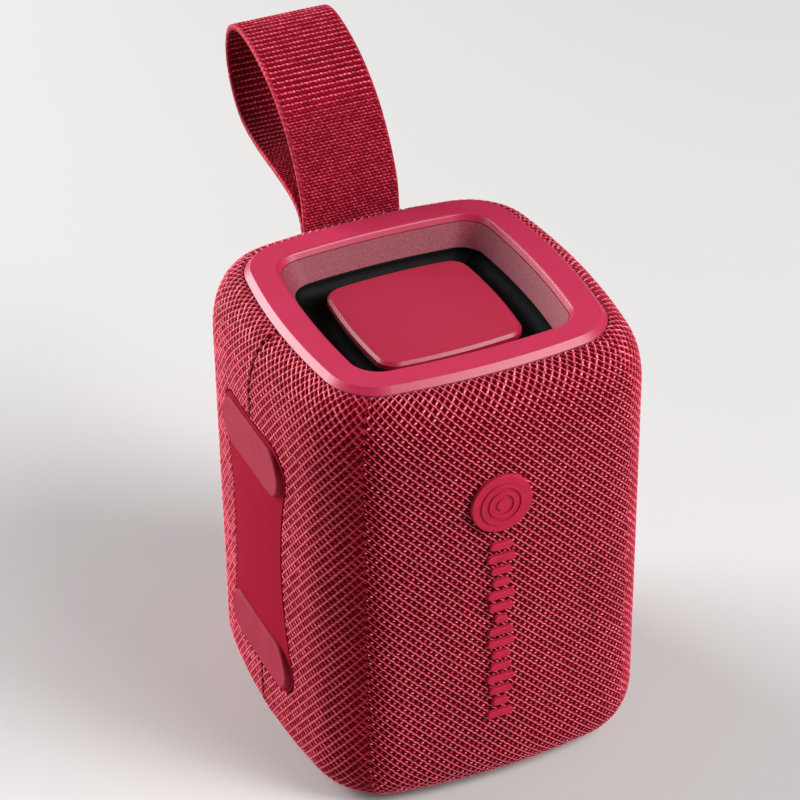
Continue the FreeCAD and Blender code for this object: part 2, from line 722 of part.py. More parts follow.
def control_panel():
    """Rubber-coated strip that fills the slot in the fabric, hollow behind its face."""
    body = panel_stadium(CONTROL_LENGTH, CONTROL_WIDTH, 39.0, CONTROL_FACE_X)
    rims = [e for e in body.Edges if e.BoundBox.XMin > CONTROL_FACE_X - 0.01]
    body = body.makeFillet(0.5, rims)
    flange = panel_stadium(CONTROL_LENGTH + 3, CONTROL_WIDTH + 3, 38.6, 39.9)
    hollow = panel_stadium(CONTROL_LENGTH - 3, CONTROL_WIDTH - 3, 38, CONTROL_FACE_X - 1.5)
    holes = [rod(radius + 0.25, (40, 0, CONTROL_Z + height), (46, 0, CONTROL_Z + height))
             for height, radius in BUTTONS.values()]
    holes.append(rod(0.95, (40, 0, CONTROL_Z + LENS_Z), (46, 0, CONTROL_Z + LENS_Z)))
    return fused([body, flange]).cut([hollow] + holes)


def button(name):
    """Cap with a raised sign, a retaining flange and a stem that reaches the switch."""
    height, radius = BUTTONS[name]
    z = CONTROL_Z + height
    face = CONTROL_FACE_X + BUTTON_PROUD
    cap = rod(radius, (41.8, 0, z), (face, 0, z))
    cap = cap.makeFillet(0.35, [e for e in cap.Edges if e.BoundBox.XMin > face - 0.01])
    flange = rod(radius + 0.9, (41.8, 0, z), (42.7, 0, z))
    stem = rod(1.4, (37.6, 0, z), (42.0, 0, z))
    return fused([cap, flange, stem] + button_sign(name, face, z))


def button_sign(name, face, z):
    """Small raised strokes: a bar, a cross, a triangle or a ring."""
    low, high = face - 0.2, face + 0.2
    bar = box(low, high, -0.35, 0.35, z - 1.7, z + 1.7)
    cross = box(low, high, -1.7, 1.7, z - 0.35, z + 0.35)
    if name == "minus":
        return [bar]
    if name == "plus":
        return [bar, cross]
    if name == "play":
        corners = [Vector(low, 1.5, z - 1.3), Vector(low, -1.5, z - 1.3), Vector(low, 0, z + 1.6)]
        return [Part.Face(Part.makePolygon(corners + corners[:1])).extrude(Vector(high - low, 0, 0))]
    if name == "power":
        return [rod(1.3, (low, 0, z), (high, 0, z)).cut(rod(0.8, (low, 0, z), (high, 0, z)))]
    return [rod(0.6, (low, 0, z), (high, 0, z))]


def status_lens():
    z = CONTROL_Z + LENS_Z
    return rod(0.85, (43.1, 0, z), (CONTROL_FACE_X + 0.05, 0, z))


# ---- feet and badge -----------------------------------------------------------------


def foot_panel():
    return foot_panel_outline(0, 10, -48).common(body_solid(0.2).cut(body_solid(HOUSING_INSET - 0.05)))


def foot(z):
    """Rubber bar with a flat face to lie on."""
    bar = stadium(FOOT_LENGTH, FOOT_WIDTH, Vector(FOOT_FACE_X, 0, z), Y_AXIS, X_AXIS, 4.0)
    rims = [e for e in bar.Edges if e.BoundBox.XMax < FOOT_FACE_X + 0.01]
    return bar.makeFillet(0.6, rims).cut(body_solid(0.16))


def badge_disc():
    disc = rod(BADGE_RADIUS, (BADGE_X, FRONT_Y - 0.02, BADGE_Z), (BADGE_X, FRONT_Y - BADGE_PROUD, BADGE_Z))
    return disc.makeFillet(0.35, [e for e in disc.Edges if e.BoundBox.YMax < FRONT_Y - BADGE_PROUD + 0.01])


def badge_symbol():
    """Two raised rings round a dot, like a cone seen from the front."""
    low, high = FRONT_Y - BADGE_PROUD - 0.02, FRONT_Y - BADGE_PROUD - 0.35

    def disc(radius):
        return rod(radius, (BADGE_X, low, BADGE_Z), (BADGE_X, high, BADGE_Z))

    return Part.makeCompound([disc(5.3).cut(disc(4.5)), disc(3.4).cut(disc(2.7)), disc(1.4)])


def bar_length(index):
    """The bars swell and fade like the level display of a hi-fi."""
    return BAR_LONGEST * (0.48 + 0.52 * abs(math.sin(0.93 * index + 0.7)))


def badge_bars():
    pitch = (BARS_TOP_Z - BARS_BOTTOM_Z) / (BARS_COUNT - 1)
    bars = []
    for index in range(BARS_COUNT):
        centre = Vector(BADGE_X, FRONT_Y - 0.02, BARS_TOP_Z - pitch * index)
        bar = stadium(bar_length(index), BAR_WIDTH, centre, X_AXIS, Vector(0, -1, 0), BADGE_PROUD)
        rims = [e for e in bar.Edges if e.BoundBox.YMax < FRONT_Y - BADGE_PROUD]
        bars.append(bar.makeFillet(0.3, rims))
    return Part.makeCompound(bars)


# ---- charging port ------------------------------------------------------------------


def rounded_bar(length, height, low_y, high_y):
    return stadium(length, height, Vector(0, low_y, PORT_Z), X_AXIS, Y_AXIS, high_y - low_y)


def port_bezel():
    """Insert with a pocket for the plug and a step for the cover."""
    block = rounded_bar(BEZEL_LENGTH, BEZEL_HEIGHT, POCKET_FLOOR_Y - 1.2, 50).common(body_solid(0.1))
    pocket = rounded_bar(23.0, 9.4, POCKET_FLOOR_Y, 50)
    step_y = BEZEL_FACE_Y - COVER_THICK - 0.1
    low = PORT_Z - COVER_HEIGHT / 2
    half = COVER_LENGTH / 2
    step = box(-half - AIR, half + AIR, step_y, 50, low - 0.6, PORT_Z + COVER_HEIGHT / 2 + AIR)
    mouth = box(-4.7, 4.7, POCKET_FLOOR_Y - 3, POCKET_FLOOR_Y + 1, PORT_Z - 1.85, PORT_Z + 1.85)
    pin = rod(0.56, (-half - 1.3, COVER_PIN_Y, COVER_PIN_Z), (half + 1.3, COVER_PIN_Y, COVER_PIN_Z))
    return block.cut([pocket, step, mouth, pin])


def port_cover():
    """Rubber flap that turns on a pin along its lower edge, with a sealing rib behind."""
    half = COVER_LENGTH / 2
    near, far = COVER_PIN_Y - COVER_THICK / 2, COVER_PIN_Y + COVER_THICK / 2
    top = PORT_Z + COVER_HEIGHT / 2
    plate = box(-half, half, near, far, COVER_PIN_Z, top)
    barrel = rod(COVER_THICK / 2, (-half, COVER_PIN_Y, COVER_PIN_Z), (half, COVER_PIN_Y, COVER_PIN_Z))
    corners = [e for e in plate.Edges if abs(e.BoundBox.ZMin - top) < 0.01 and e.Length < 2]
    plate = plate.makeFillet(3.0, corners)
    rib = rounded_bar(20.5, 7.0, near - 1.2, near + 0.2).cut(rounded_bar(18.5, 5.0, near - 2, near + 1))
    grip = box(-4, 4, far - 0.3, far + 0.3, top - 2.2, top - 1.2)
    hole = rod(0.56, (-half - 1, COVER_PIN_Y, COVER_PIN_Z), (half + 1, COVER_PIN_Y, COVER_PIN_Z))
    return fused([plate, barrel, rib, grip]).cut(hole)


def port_cover_pin():
    half = COVER_LENGTH / 2
    return rod(0.5, (-half - 1.2, COVER_PIN_Y, COVER_PIN_Z), (half + 1.2, COVER_PIN_Y, COVER_PIN_Z))


def usb_socket():
    """Steel shell with its tongue, mouth flush with the pocket's floor."""
    mouth = POCKET_FLOOR_Y
    shell = stadium(8.94, 3.26, Vector(0, mouth - 7.2, PORT_Z), X_AXIS, Y_AXIS, 7.2)
    shell = shell.cut(stadium(8.34, 2.56, Vector(0, mouth - 6.2, PORT_Z), X_AXIS, Y_AXIS, 8))
    tongue = box(-3.3, 3.3, mouth - 6.4, mouth - 1.2, PORT_Z - 0.35, PORT_Z + 0.35)
    return shell.fuse(tongue)


def usb_board():
    return box(-9, 9, POCKET_FLOOR_Y - 11, POCKET_FLOOR_Y - 1.4, PORT_Z - 2.8, PORT_Z - 1.7)


# ---- webbing loop -------------------------------------------------------------------

def strap_loop():
    """Folded webbing: a teardrop whose legs are sewn together and end in a round at the root."""
    line = Part.BSplineCurve()
    line.interpolate([Vector(0, y, z) for y, z in STRAP_LINE])
    first, last = line.FirstParameter, line.LastParameter

    def beside(share, offset):
        at = first + (last - first) * share
        along = line.tangent(at)[0]
        return line.value(at) + X_AXIS.cross(along) * offset

    def offset_curve(offset, start, stop, count=28):
        curve = Part.BSplineCurve()
        curve.interpolate([beside(start + (stop - start) * i / count, offset) for i in range(count + 1)])
        return curve

    inner = offset_curve(-WEB_THICK / 2, 0.03, 0.97)
    outer = offset_curve(WEB_THICK / 2, 0.0, 1.0)
    root = Vector(0, STRAP_ROOT_Y, STRAP_ROOT_Z)
    side, down = Vector(0, WEB_THICK, 0), Vector(0, 0, -WEB_THICK)
    outline = Part.Wire([
        outer.toShape(),
        Part.makeLine(outer.EndPoint, root + side),
        Part.Arc(root + side, root + down, root - side).toShape(),
        Part.makeLine(root - side, outer.StartPoint),
    ])
    hole = Part.Wire([inner.toShape(), Part.makeLine(inner.EndPoint, inner.StartPoint)])
    band = Part.Face(outline).cut(Part.Face(hole))
    band.translate(X_AXIS * (-WEB_WIDTH / 2))
    return band.extrude(X_AXIS * WEB_WIDTH)


def strap_tail():
    """The sewn end of the webbing inside the body, thickened below the anchor so it can't pull out."""
    half = WEB_WIDTH / 2
    tail = box(-half, half, -WEB_THICK, WEB_THICK, -12.5, -WEB_THICK - AIR)
    knot = box(-half, half, -2.6, 2.6, -12.5, -10.6)
    return strap_frame(tail.fuse(knot))


def strap_anchor():
    """Slotted plate that holds the webbing's end inside the shoulder."""
    half = ANCHOR_SCREW_X + 2.9
    plate = box(-half, half, -3.4, 3.4, -10.2, -7.4)
    slot = box(-WEB_WIDTH / 2 - AIR, WEB_WIDTH / 2 + AIR, -WEB_THICK - CLEAR, WEB_THICK + CLEAR, -11, -7)
    return strap_frame(plate.cut(slot)).cut(anchor_screw_shanks(0.85))


# ---- every piece --------------------------------------------------------------------


def fixed_pieces():
    front_half, back_half = housing_halves()
    return {
        "fabric_sleeve": fabric_sleeve(),
        "housing_front": front_half,
        "housing_back": back_half,
        "housing_screws": housing_screws(),
        "foot_panel": foot_panel(),
        "upper_foot": foot(UPPER_FOOT_Z),
        "lower_foot": foot(LOWER_FOOT_Z),
        "badge_disc": badge_disc(),
        "badge_symbol": badge_symbol(),
        "badge_bars": badge_bars(),
        "control_panel": control_panel(),
        "status_lens": status_lens(),
        "button_board": button_board(),
        "button_switches": button_switches(),
        "button_board_screws": button_board_screws(),
        "port_bezel": port_bezel(),
        "port_cover_pin": port_cover_pin(),
        "usb_socket": usb_socket(),
        "usb_board": usb_board(),
        "main_board": main_board(),
        "board_chips": board_chips(),
        "board_screws": board_screws(),
        "battery_holder": battery_holder(),
        "battery_cell_left": battery_cell(-1),
        "battery_cell_right": battery_cell(1),
        "holder_screws": holder_screws(),
        "strap_tail": strap_tail(),
        "strap_anchor": strap_anchor(),
        "anchor_screws": anchor_screws(),
    }


def driver_pieces():
    return {
        "driver_guard": driver_guard(),
        "driver_gasket": driver_gasket(),
        "driver_basket": driver_basket(),
        "driver_screws": driver_screws(),
        "driver_surround": driver_surround(),
        "driver_cone": driver_cone(),
        "dust_cap": dust_cap(),
        "voice_coil": voice_coil(),
        "spider": spider(),
        "driver_top_plate": driver_ring(11.1, 22.0, 13.4, 16.4),
        "driver_magnet": driver_ring(12.5, 22.0, 16.4, 24.4),
        "driver_yoke": driver_yoke(),
    }


def end_pieces():
    """What each end holds. The bottom end is the top end mirrored."""
    top = {
        "ring": top_ring(),
        "radiator_frame": radiator_frame(),
        "frame_screws": frame_screws(),
        "radiator_surround": radiator_surround(),
        "radiator_plate": radiator_plate(),
        "radiator_weight": radiator_weight(),
    }
    pieces = {f"top_{name}": shape for name, shape in top.items()}
    pieces |= {f"bottom_{name}": mirrored(shape) for name, shape in top.items()}
    return pieces


def moving_pieces():
    pieces = {f"button_{name}": button(name) for name in BUTTONS}
    return pieces | {"port_cover": port_cover(), "strap_loop": strap_loop()}


def main():
    os.makedirs("parts", exist_ok=True)
    pieces = fixed_pieces() | driver_pieces() | end_pieces() | moving_pieces()
    for name, shape in pieces.items():
        shape.exportStep(f"parts/{name}.step")
    print(len(pieces), "pieces")


main()
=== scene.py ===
"""Looks of the portable speaker: knitted sleeve, webbing loop, moulded parts and studio.

Shapes are worked out in millimetres and turned into metres when a mesh is made.
"""

import math

import bpy
import numpy as np
from mathutils import Matrix, Vector
from mathutils.bvhtree import BVHTree


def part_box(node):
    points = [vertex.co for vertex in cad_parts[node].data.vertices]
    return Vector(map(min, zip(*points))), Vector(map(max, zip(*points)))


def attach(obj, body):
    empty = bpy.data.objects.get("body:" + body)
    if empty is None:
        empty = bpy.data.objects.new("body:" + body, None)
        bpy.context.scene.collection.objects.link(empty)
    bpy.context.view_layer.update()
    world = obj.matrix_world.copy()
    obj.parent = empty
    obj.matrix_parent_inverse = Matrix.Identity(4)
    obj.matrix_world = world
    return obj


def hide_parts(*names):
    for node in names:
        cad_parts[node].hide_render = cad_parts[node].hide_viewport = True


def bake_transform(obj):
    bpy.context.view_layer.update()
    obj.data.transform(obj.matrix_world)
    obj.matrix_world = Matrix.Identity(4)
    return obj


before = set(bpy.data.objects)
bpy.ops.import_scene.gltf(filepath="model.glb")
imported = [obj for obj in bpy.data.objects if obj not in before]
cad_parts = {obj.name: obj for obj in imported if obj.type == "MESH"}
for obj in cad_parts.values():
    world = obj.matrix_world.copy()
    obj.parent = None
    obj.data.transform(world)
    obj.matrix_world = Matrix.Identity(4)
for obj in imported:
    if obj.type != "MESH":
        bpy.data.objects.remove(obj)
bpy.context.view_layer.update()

MM = 0.001

# ---- driving dimensions, in millimetres ---------------------------------------------

sleeve_low, sleeve_high = (np.array(corner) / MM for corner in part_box("fabric_sleeve"))
ring_high = np.array(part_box("top_ring")[1]) / MM
HEIGHT = ring_high[2]
HALF_X, HALF_Y, SHOULDER_TOP = sleeve_high
SHOULDER_LOW = sleeve_low[2]
RING_HALF = ring_high[0]
BODY_EXPONENT = 3.56  # how square an outline is, as in a superellipse
RING_EXPONENT = 4.36
WELL_EXPONENT = 5.8
SHOULDER_RISE = 15.4
LOWER_RISE = 11.5

# how finely curves are drawn or measured
ARC_POINTS = 32
GIRTH_POINTS = 720
SHOULDER_POINTS = 400
SPLINE_POINTS = 40

# knit of the sleeve
CELLS_ROUND = 138  # cells around the body, with one cord to each
CELL_HEIGHT = 2.2
FLOATS_ROUND = 139
FLOATS_UP = 0.833  # in a cell's height
FLOAT_LEAN = 0.5
FOLD_CELL = 19.25  # from the seam to the front left corner, where the two yarns change places
SAMPLES = 8  # mesh columns, and rows, in a cell
SLEEVE_PANELS = 6
RELIEF = 0.52  # from the bottom of a hole to the top of a cord
CREST = 0.06  # how far the cords stand above the sleeve's nominal surface
TUCK = 1.1  # what the ring hides
RING_GAP = 0.12
ROLLED_EDGE = 0.9  # width over which the knit dips to a hard part
ROLLED_DEPTH = 1.15
OPENING = 1.6  # how soon the knit is drawn open over a shoulder
TUCK_EASE = 0.4  # run over which the relief goes flat under a ring
TUCK_SINK = 0.1
DIP_SHADE, SEAM_SHADE, TUCK_SHADE = 0.85, 0.9, 0.8  # how much painted shade darkens dips, the seam and tucks
RAY_START = 3  # above the sleeve
# parts set into the sleeve, with how far under it each may lie
HARD_PARTS = {"foot_panel": 2.0, "control_panel": 3.0, "port_bezel": 12.0, "port_cover": 4.0}

# yarns of the knit: widths in cells, heights from 0 in a hole to 1 on a cord
CORD_WIDTH, CORD_SWAY = 0.15, 0.05
CORD_HIGH, CORD_SWELL = 0.84, 0.08
CORD_TONE, CORD_TONE_LUCK = 0.15, 0.35
FLOAT_REACH = (0.21, 0.38)  # each pair is for the front and back, and for the sides
FLOAT_WIDTH = (0.17, 0.22)
FLOAT_HIGH = (0.78, 0.58)
FLOAT_TONE = 0.5
OPEN_REACH = 0.2  # what an open knit adds to the floats' reach
FLOAT_LUCK, FLOAT_SHIFT = 0.3, 0.12
# the sinking also colours the yarns darker there: painted shade on the front left corner
CORNER_CORD_DROP, CORNER_CORD_RUN = 0.2, 1.8  # how the yarns sink at the front left corner
CORNER_FLOAT_DROP, CORNER_FLOAT_RUN = 0.22, 5

# seam of the sleeve, on the -X side
SEAM_Y = -0.5
SEAM_DEPTH = 0.7
GROOVE_WIDTH, HOLE_WIDENS = 0.32, 0.14
HOLE_EDGE = 1.6  # how sharply a stitch hole starts
GROOVE_BETWEEN = 0.55  # depth between two holes, as a share of a hole's
LIP_HIGH, LIP_PLACE, LIP_WIDTH = 0.2, 1.15, 0.6
STITCH_PITCH = 2.9
STITCH_HALF, STITCH_LEAN = 0.95, 0.18
STITCH_SINK, STITCH_BOW = 0.1, 0.5
STITCH_POINTS = 9
THREAD_RADIUS = 0.17
THREAD_SIDES = 8
PANEL_CLEAR = 0.8  # from the foot panel to the nearest stitch

# webbing loop
WEB_WIDTH = 25.0
WEB_THICK = 1.7
ROW_PITCH = 0.755  # every second row stands higher
PICK_PITCH = 0.74
WEB_RELIEF = 0.36
SELVAGE = 0.9
KNOT_PITCH = 1.51  # of the loops along the edges
FLAT_RUN = 26.0  # from the root, how far the webbing is pulled flat
WEB_EDGE = 0.35  # how far the rounded edges reach beyond the flat faces
WEB_FACE_POINTS = 110
WEB_TURN_POINTS = 6
FLAT_EASE = 10  # run over which the ribs start after that
INNER_SHADE, FLAT_SHADE = 0.4, 0.38  # painted shade of the inner face's ribs, and of the outer face's flat run
TURN_RELIEF = 0.5  # share of the relief that is left on the rounded edges
# heights and widths of the rows, as the value on the ribs and what the flat run adds to it
HIGH_ROW_LIFT, LOW_ROW_LIFT = (1.0, -0.1), (0.56, 0.32)
HIGH_ROW_WIDTH, LOW_ROW_WIDTH = (0.58, -0.14), (0.36, 0.06)
ROW_WANDER, ROW_PHASE = 0.07, 2.4
PICK_LEVEL, PICK_BUMP, PICK_DRIFT = 0.8, 0.1, 0.16
PICK_STEP, PICK_LEAN, PICK_LUCK = 0.25, 0.3, 0.15
KNOT_LEVEL, KNOT_BUMP, KNOT_LUCK = 0.5, 0.2, 0.4
KNOT_LEAN = 0.35
SELVAGE_EASE = 0.35
# middle line of the webbing, up the near leg, round the tip and back, as (y, z)
STRAP_LINE = [
    (40.3, 108.9), (41.0, 110.5), (41.35, 112.2), (42.3, 119.0), (46.2, 127.3),
    (52.4, 135.3), (61.0, 141.8), (71.0, 145.9), (80.0, 147.0), (86.2, 144.0),
    (88.3, 137.0), (86.0, 128.8), (80.0, 122.4), (70.5, 119.6), (59.5, 118.4),
    (50.3, 117.1), (45.2, 115.0), (43.05, 112.2), (42.6, 110.5), (41.9, 108.9),
]
STRAP_ROOT = (42.2, 111.4)
STRAP_TILT = math.radians(-49.7)
SLOT_HALF_WIDTH = 12.9
SLOT_NEAR, SLOT_FAR = -2.3, 1.9
SLOT_REACH = 6  # how far from the root the slot still cuts the sleeve

# rubber roll round a radiator
RUBBER = 0.5
ROLL_OUTER, ROLL_INNER = 25.6, 18.4
RIM_HALF, LIP_HALF = 29.5, 14.0
RIM_DROP, LIP_DROP = 7.33, 7.87  # of the rubber's middle, below the ring's top
ROLL_TURN_POINTS, ROLL_SIDE_POINTS = 25, 33

# parts that share a material but not a look
COLLAR = 1.5  # height of the smooth collar at the top of each well
COLLAR_EDGE = 0.1
PLATE_REACH, WALL_REACH = 20.0, 22.0  # from the middle line: a plate ends, a wall has begun
FACE_DEPTH = 0.05  # what counts as lying on a flat end face
BADGE_FRONT = -40.0  # y beyond which rubber belongs to the badge

# noise scales per metre
MOTTLE = 160.0  # patches in the colour of a moulded part
SPECK, RUBBER_SPECK, WALL_GRAIN = 3200.0, 2400.0, 3400.0
CLOTH_PATCHES = 35.0
FIBRES = (2200.0, 9000.0, 1.0)  # along a yarn's fibres, across them, and through the cloth

# finishes
FIBRE_LIFT = 0.12  # what a fibre adds to the height that a yarn is coloured by
# the lowest of the five colours are painted shade in the hollows, the highest painted highlight on
# the crests
YARN_STOPS = (0.0, 0.34, 0.6, 0.82, 1.0)  # heights of a yarn's five colours
DEEPEST = 0.25  # brightness that is left where the painted shade is fullest
DULL = 0.22  # what a well's wall or an end face adds to the roughness
FINE_GRAIN = 0.3  # of a smooth face, as a share of the wall's


# ---- sections of the body -----------------------------------------------------------


def outline(half_x, half_y, exponent, shares):
    """Points on eight tangent arcs, at shares of the way round.

    The way round starts at the middle of the -X side and passes -Y, +X and +Y. exponent
    says how square the outline is, as in a superellipse."""
    diagonal = 2 ** (-1 / exponent)
    corner = (half_x + half_y) / 2 * math.sqrt(2) * diagonal / (exponent - 1)
    centre_x = half_x * diagonal - corner / math.sqrt(2)
    centre_y = half_y * diagonal - corner / math.sqrt(2)

    def side_radius(half, along, across):
        gap = half - along
        return (corner**2 - gap**2 - across**2) / (2 * (corner - gap))

    def arc(x, y, radius, start, stop):
        turn = np.linspace(start, stop, ARC_POINTS, endpoint=False)
        return np.stack([x + radius * np.cos(turn), y + radius * np.sin(turn)], 1)

    radius_x = side_radius(half_x, centre_x, centre_y)
    radius_y = side_radius(half_y, centre_y, centre_x)
    first = math.atan2(centre_y, centre_x - half_x + radius_x)
    second = math.atan2(centre_y - half_y + radius_y, centre_x)
    quarter = np.vstack([
        arc(half_x - radius_x, 0, radius_x, 0, first),
        arc(centre_x, centre_y, corner, first, second),
        arc(0, half_y - radius_y, radius_y, second, math.pi / 2),
        [[0, half_y]],
    ])
    back = quarter[::-1]
    way = np.vstack([-quarter, back[1:] * (1, -1), quarter[1:], back[1:] * (-1, 1)])
    lengths = np.concatenate([[0], np.cumsum(np.linalg.norm(np.diff(way, axis=0), axis=1))])
    at = np.mod(shares, 1.0) * lengths[-1]
    return np.stack([np.interp(at, lengths, way[:, axis]) for axis in (0, 1)], 1)


def girth(half_x, half_y, exponent):
    """Length of the outline."""
    points = outline(half_x, half_y, exponent, np.linspace(0, 1, GIRTH_POINTS + 1)[:-1])
    return np.linalg.norm(np.roll(points, -1, 0) - points, axis=1).sum()


def smooth(value):
    """Eases from 0 to 1."""
    value = np.clip(value, 0, 1)
    return value * value * (3 - 2 * value)


def chance(a, b, seed):
    """An even random number from 0 to 1 for each pair of whole numbers.

    The factors have no meaning: they only have to scatter the numbers."""
    mixed = np.sin(a * 12.9898 + b * 78.233 + seed * 37.719) * 43758.5453
    return mixed - np.floor(mixed)


# ---- meshes -------------------------------------------------------------------------


def mesh_object(name, points, faces, normals=None):
    """A smooth mesh of quads from points in millimetres."""
    mesh = bpy.data.meshes.new(name)
    mesh.vertices.add(len(points))
    mesh.vertices.foreach_set("co", (points * MM).astype(np.float32).ravel())
    mesh.loops.add(faces.size)
    mesh.loops.foreach_set("vertex_index", faces.astype(np.int32).ravel())
    mesh.polygons.add(len(faces))
    mesh.polygons.foreach_set("loop_start", np.arange(0, faces.size, 4, dtype=np.int32))
    mesh.update(calc_edges=True)
    mesh.polygons.foreach_set("use_smooth", np.ones(len(faces), bool))
    if normals is not None:
        mesh.normals_split_custom_set_from_vertices(normals.astype(np.float32))
    piece = bpy.data.objects.new(name, mesh)
    bpy.context.scene.collection.objects.link(piece)
    return piece


def point_values(piece, name, values):
    """Stores one number at each point, for the material."""
    layer = piece.data.attributes.new(name, "FLOAT", "POINT")
    layer.data.foreach_set("value", values.astype(np.float32).ravel())


def cloth_map(piece, name, places):
    """A UV map with the cloth's own flat coordinates in metres."""
    corners = np.zeros(len(piece.data.loops), np.int32)
    piece.data.loops.foreach_get("vertex_index", corners)
    layer = piece.data.uv_layers.new(name=name)
    layer.data.foreach_set("uv", (places[corners] * MM).astype(np.float32).ravel())


def cloth_piece(name, points, faces, normals, values, places, material):
    """A piece of cloth with the values that its material reads at each point."""
    piece = mesh_object(name, points, faces, normals)
    for value_name, value in zip(("lift", "tone", "painted_shade"), values):
        point_values(piece, value_name, value)
    cloth_map(piece, "knit", places)
    piece.data.materials.append(material)
    return piece


def grid_faces(rows, columns, closed=False, keep=None):
    """Quads of a grid whose points are stored row by row."""
    last = columns if closed else columns - 1
    row, column = np.meshgrid(np.arange(rows - 1), np.arange(last), indexing="ij")
    beside = (column + 1) % columns
    faces = np.stack([row * columns + column, (row + 1) * columns + column,
                      (row + 1) * columns + beside, row * columns + beside], -1)
    return faces[keep] if keep is not None else faces.reshape(-1, 4)


def grid_normals(points, closed=False):
    """Outward unit normals of a grid of points, whose columns run to the right and rows down."""
    if closed:
        across = np.roll(points, -1, 1) - np.roll(points, 1, 1)
    else:
        across = np.gradient(points, axis=1)
    normals = np.cross(np.gradient(points, axis=0), across)
    return normals / np.maximum(np.linalg.norm(normals, axis=-1, keepdims=True), 1e-12)


# ---- knitted sleeve -----------------------------------------------------------------


def shoulder_rows(rise, step):
    """Rows over a shoulder, from the ring outwards: how wide they are, 0 to 1, and their drop."""
    bulge = (HALF_X + HALF_Y) / 2 - RING_HALF
    turn = np.linspace(math.pi / 2, 0, SHOULDER_POINTS)
    arc = np.stack([bulge * np.cos(turn), rise * np.sin(turn)], 1)
    run = np.concatenate([[0], np.cumsum(np.linalg.norm(np.diff(arc, axis=0), axis=1))])
    angles = np.interp(np.linspace(0, run[-1], round(run[-1] / step) + 1), run, turn)
    return np.cos(angles), rise * (1 - np.sin(angles))


def sleeve_profile():
    """Rows from the top ring to the bottom one: width, height, depth under a ring, spacing."""
    step = CELL_HEIGHT / SAMPLES
    tuck = np.arange(TUCK, 0, -step)
    upper, upper_drop = shoulder_rows(SHOULDER_RISE, step)
    lower, lower_drop = shoulder_rows(LOWER_RISE, step)
    high, low = SHOULDER_TOP - SHOULDER_RISE, SHOULDER_LOW + LOWER_RISE
    level = np.linspace(high, low, round((high - low) / step) + 1)[1:-1]
    spread = np.concatenate([0 * tuck, upper, np.ones(len(level)), lower[::-1], 0 * tuck])
    z = np.concatenate([SHOULDER_TOP - tuck, SHOULDER_TOP - upper_drop, level,
                        SHOULDER_LOW + lower_drop[::-1], SHOULDER_LOW + tuck[::-1]])
    hidden = np.zeros(len(z))
    hidden[:len(tuck)] = tuck
    hidden[-len(tuck):] = tuck[::-1]
    return spread, z, hidden, step


def sleeve_base():
    """The sleeve's nominal surface as a closed grid of points, with its knit coordinates."""
    spread, z, hidden, step = sleeve_profile()
    columns = CELLS_ROUND * SAMPLES
    shares = np.arange(columns) / columns
    ring_half = RING_HALF + RING_GAP
    points = np.empty((len(z), columns, 3))
    for row, share in enumerate(spread):
        if row and share == spread[row - 1]:
            points[row, :, :2] = points[row - 1, :, :2]
        else:
            half_x = ring_half + (HALF_X - ring_half) * share
            half_y = ring_half + (HALF_Y - ring_half) * share
            exponent = RING_EXPONENT + (BODY_EXPONENT - RING_EXPONENT) * share
            points[row, :, :2] = outline(half_x, half_y, exponent, shares)
        points[row, :, 2] = z[row]
    run = (np.arange(len(z)) - len(z) // 2) * step
    return points, shares, run, spread, hidden


def folded(right):
    """Cells to the right, turned back at each corner of the body, and the number of the face."""
    half = CELLS_ROUND / 2
    corners = np.array([FOLD_CELL, half - FOLD_CELL, half + FOLD_CELL, CELLS_ROUND - FOLD_CELL])
    turns = np.concatenate([[0], corners, [CELLS_ROUND]])
    steps = np.diff(turns) * (-1, 1, -1, 1, -1)
    place = np.interp(right, turns, 2 * FOLD_CELL + np.concatenate([[0], np.cumsum(steps)]))
    return place, np.searchsorted(corners, right)


def knit_relief(right, up, openness):
    """Height of the knit, 0 in a hole and 1 on a cord, and how bright each yarn is.

    On the front and back, cords fall to the right, one for each whole number of across. Short
    floats of the other yarn lie between them, each leaning up to the right. On the other two
    faces the two yarns change places, and the floats are longer and lie lower. Near the front
    left corner the cords sink, and so do the floats of the left face."""
    place, face = folded(right)
    on_side = face % 2 == 0

    def by_face(front, side):
        return np.where(on_side, side, front)

    def near_corner(run):
        return np.exp(-((np.abs(right - FOLD_CELL) / run) ** 2))

    across = place + by_face(1.0, FLOATS_UP) * up
    cord_index = np.round(across)
    turn = 2 * math.pi * (FLOATS_ROUND / CELLS_ROUND * place - by_face(FLOATS_UP, 1.0) * up)
    from_cord = across - cord_index - CORD_SWAY * np.sin(turn)
    cord = np.exp(-((from_cord / CORD_WIDTH) ** 2)) * (CORD_HIGH + CORD_SWELL * np.cos(turn))
    # painted shade: the cords sink near the front left corner, which colours them darker there
    cord *= 1 - CORNER_CORD_DROP * near_corner(CORNER_CORD_RUN)

    gap_index = np.floor(across)
    middle = across - gap_index - 0.5
    float_place = turn / (2 * math.pi) - FLOAT_LEAN * middle * (1 - openness)
    float_index = np.round(float_place)
    luck = chance(gap_index, float_index, 3 * face + 1)
    shift = FLOAT_SHIFT * (chance(gap_index, float_index, 3 * face + 2) - 0.5)
    reach = by_face(*FLOAT_REACH) + OPEN_REACH * openness
    from_float = (float_place - float_index - shift) / by_face(*FLOAT_WIDTH)
    front_high, side_high = FLOAT_HIGH
    # painted shade: the left face's floats sink and darken near that corner too
    side_high = side_high - CORNER_FLOAT_DROP * near_corner(CORNER_FLOAT_RUN)
    high = by_face(front_high, side_high) + FLOAT_LUCK * luck
    dash = np.exp(-(from_float**2) - (middle / reach) ** 4) * high

    lift = np.maximum(cord, dash)
    cord_tone = CORD_TONE + CORD_TONE_LUCK * chance(cord_index, float_index, 3 * face + 3)
    tone = np.where(dash > cord, FLOAT_TONE + (1 - FLOAT_TONE) * luck, cord_tone)
    return lift, tone


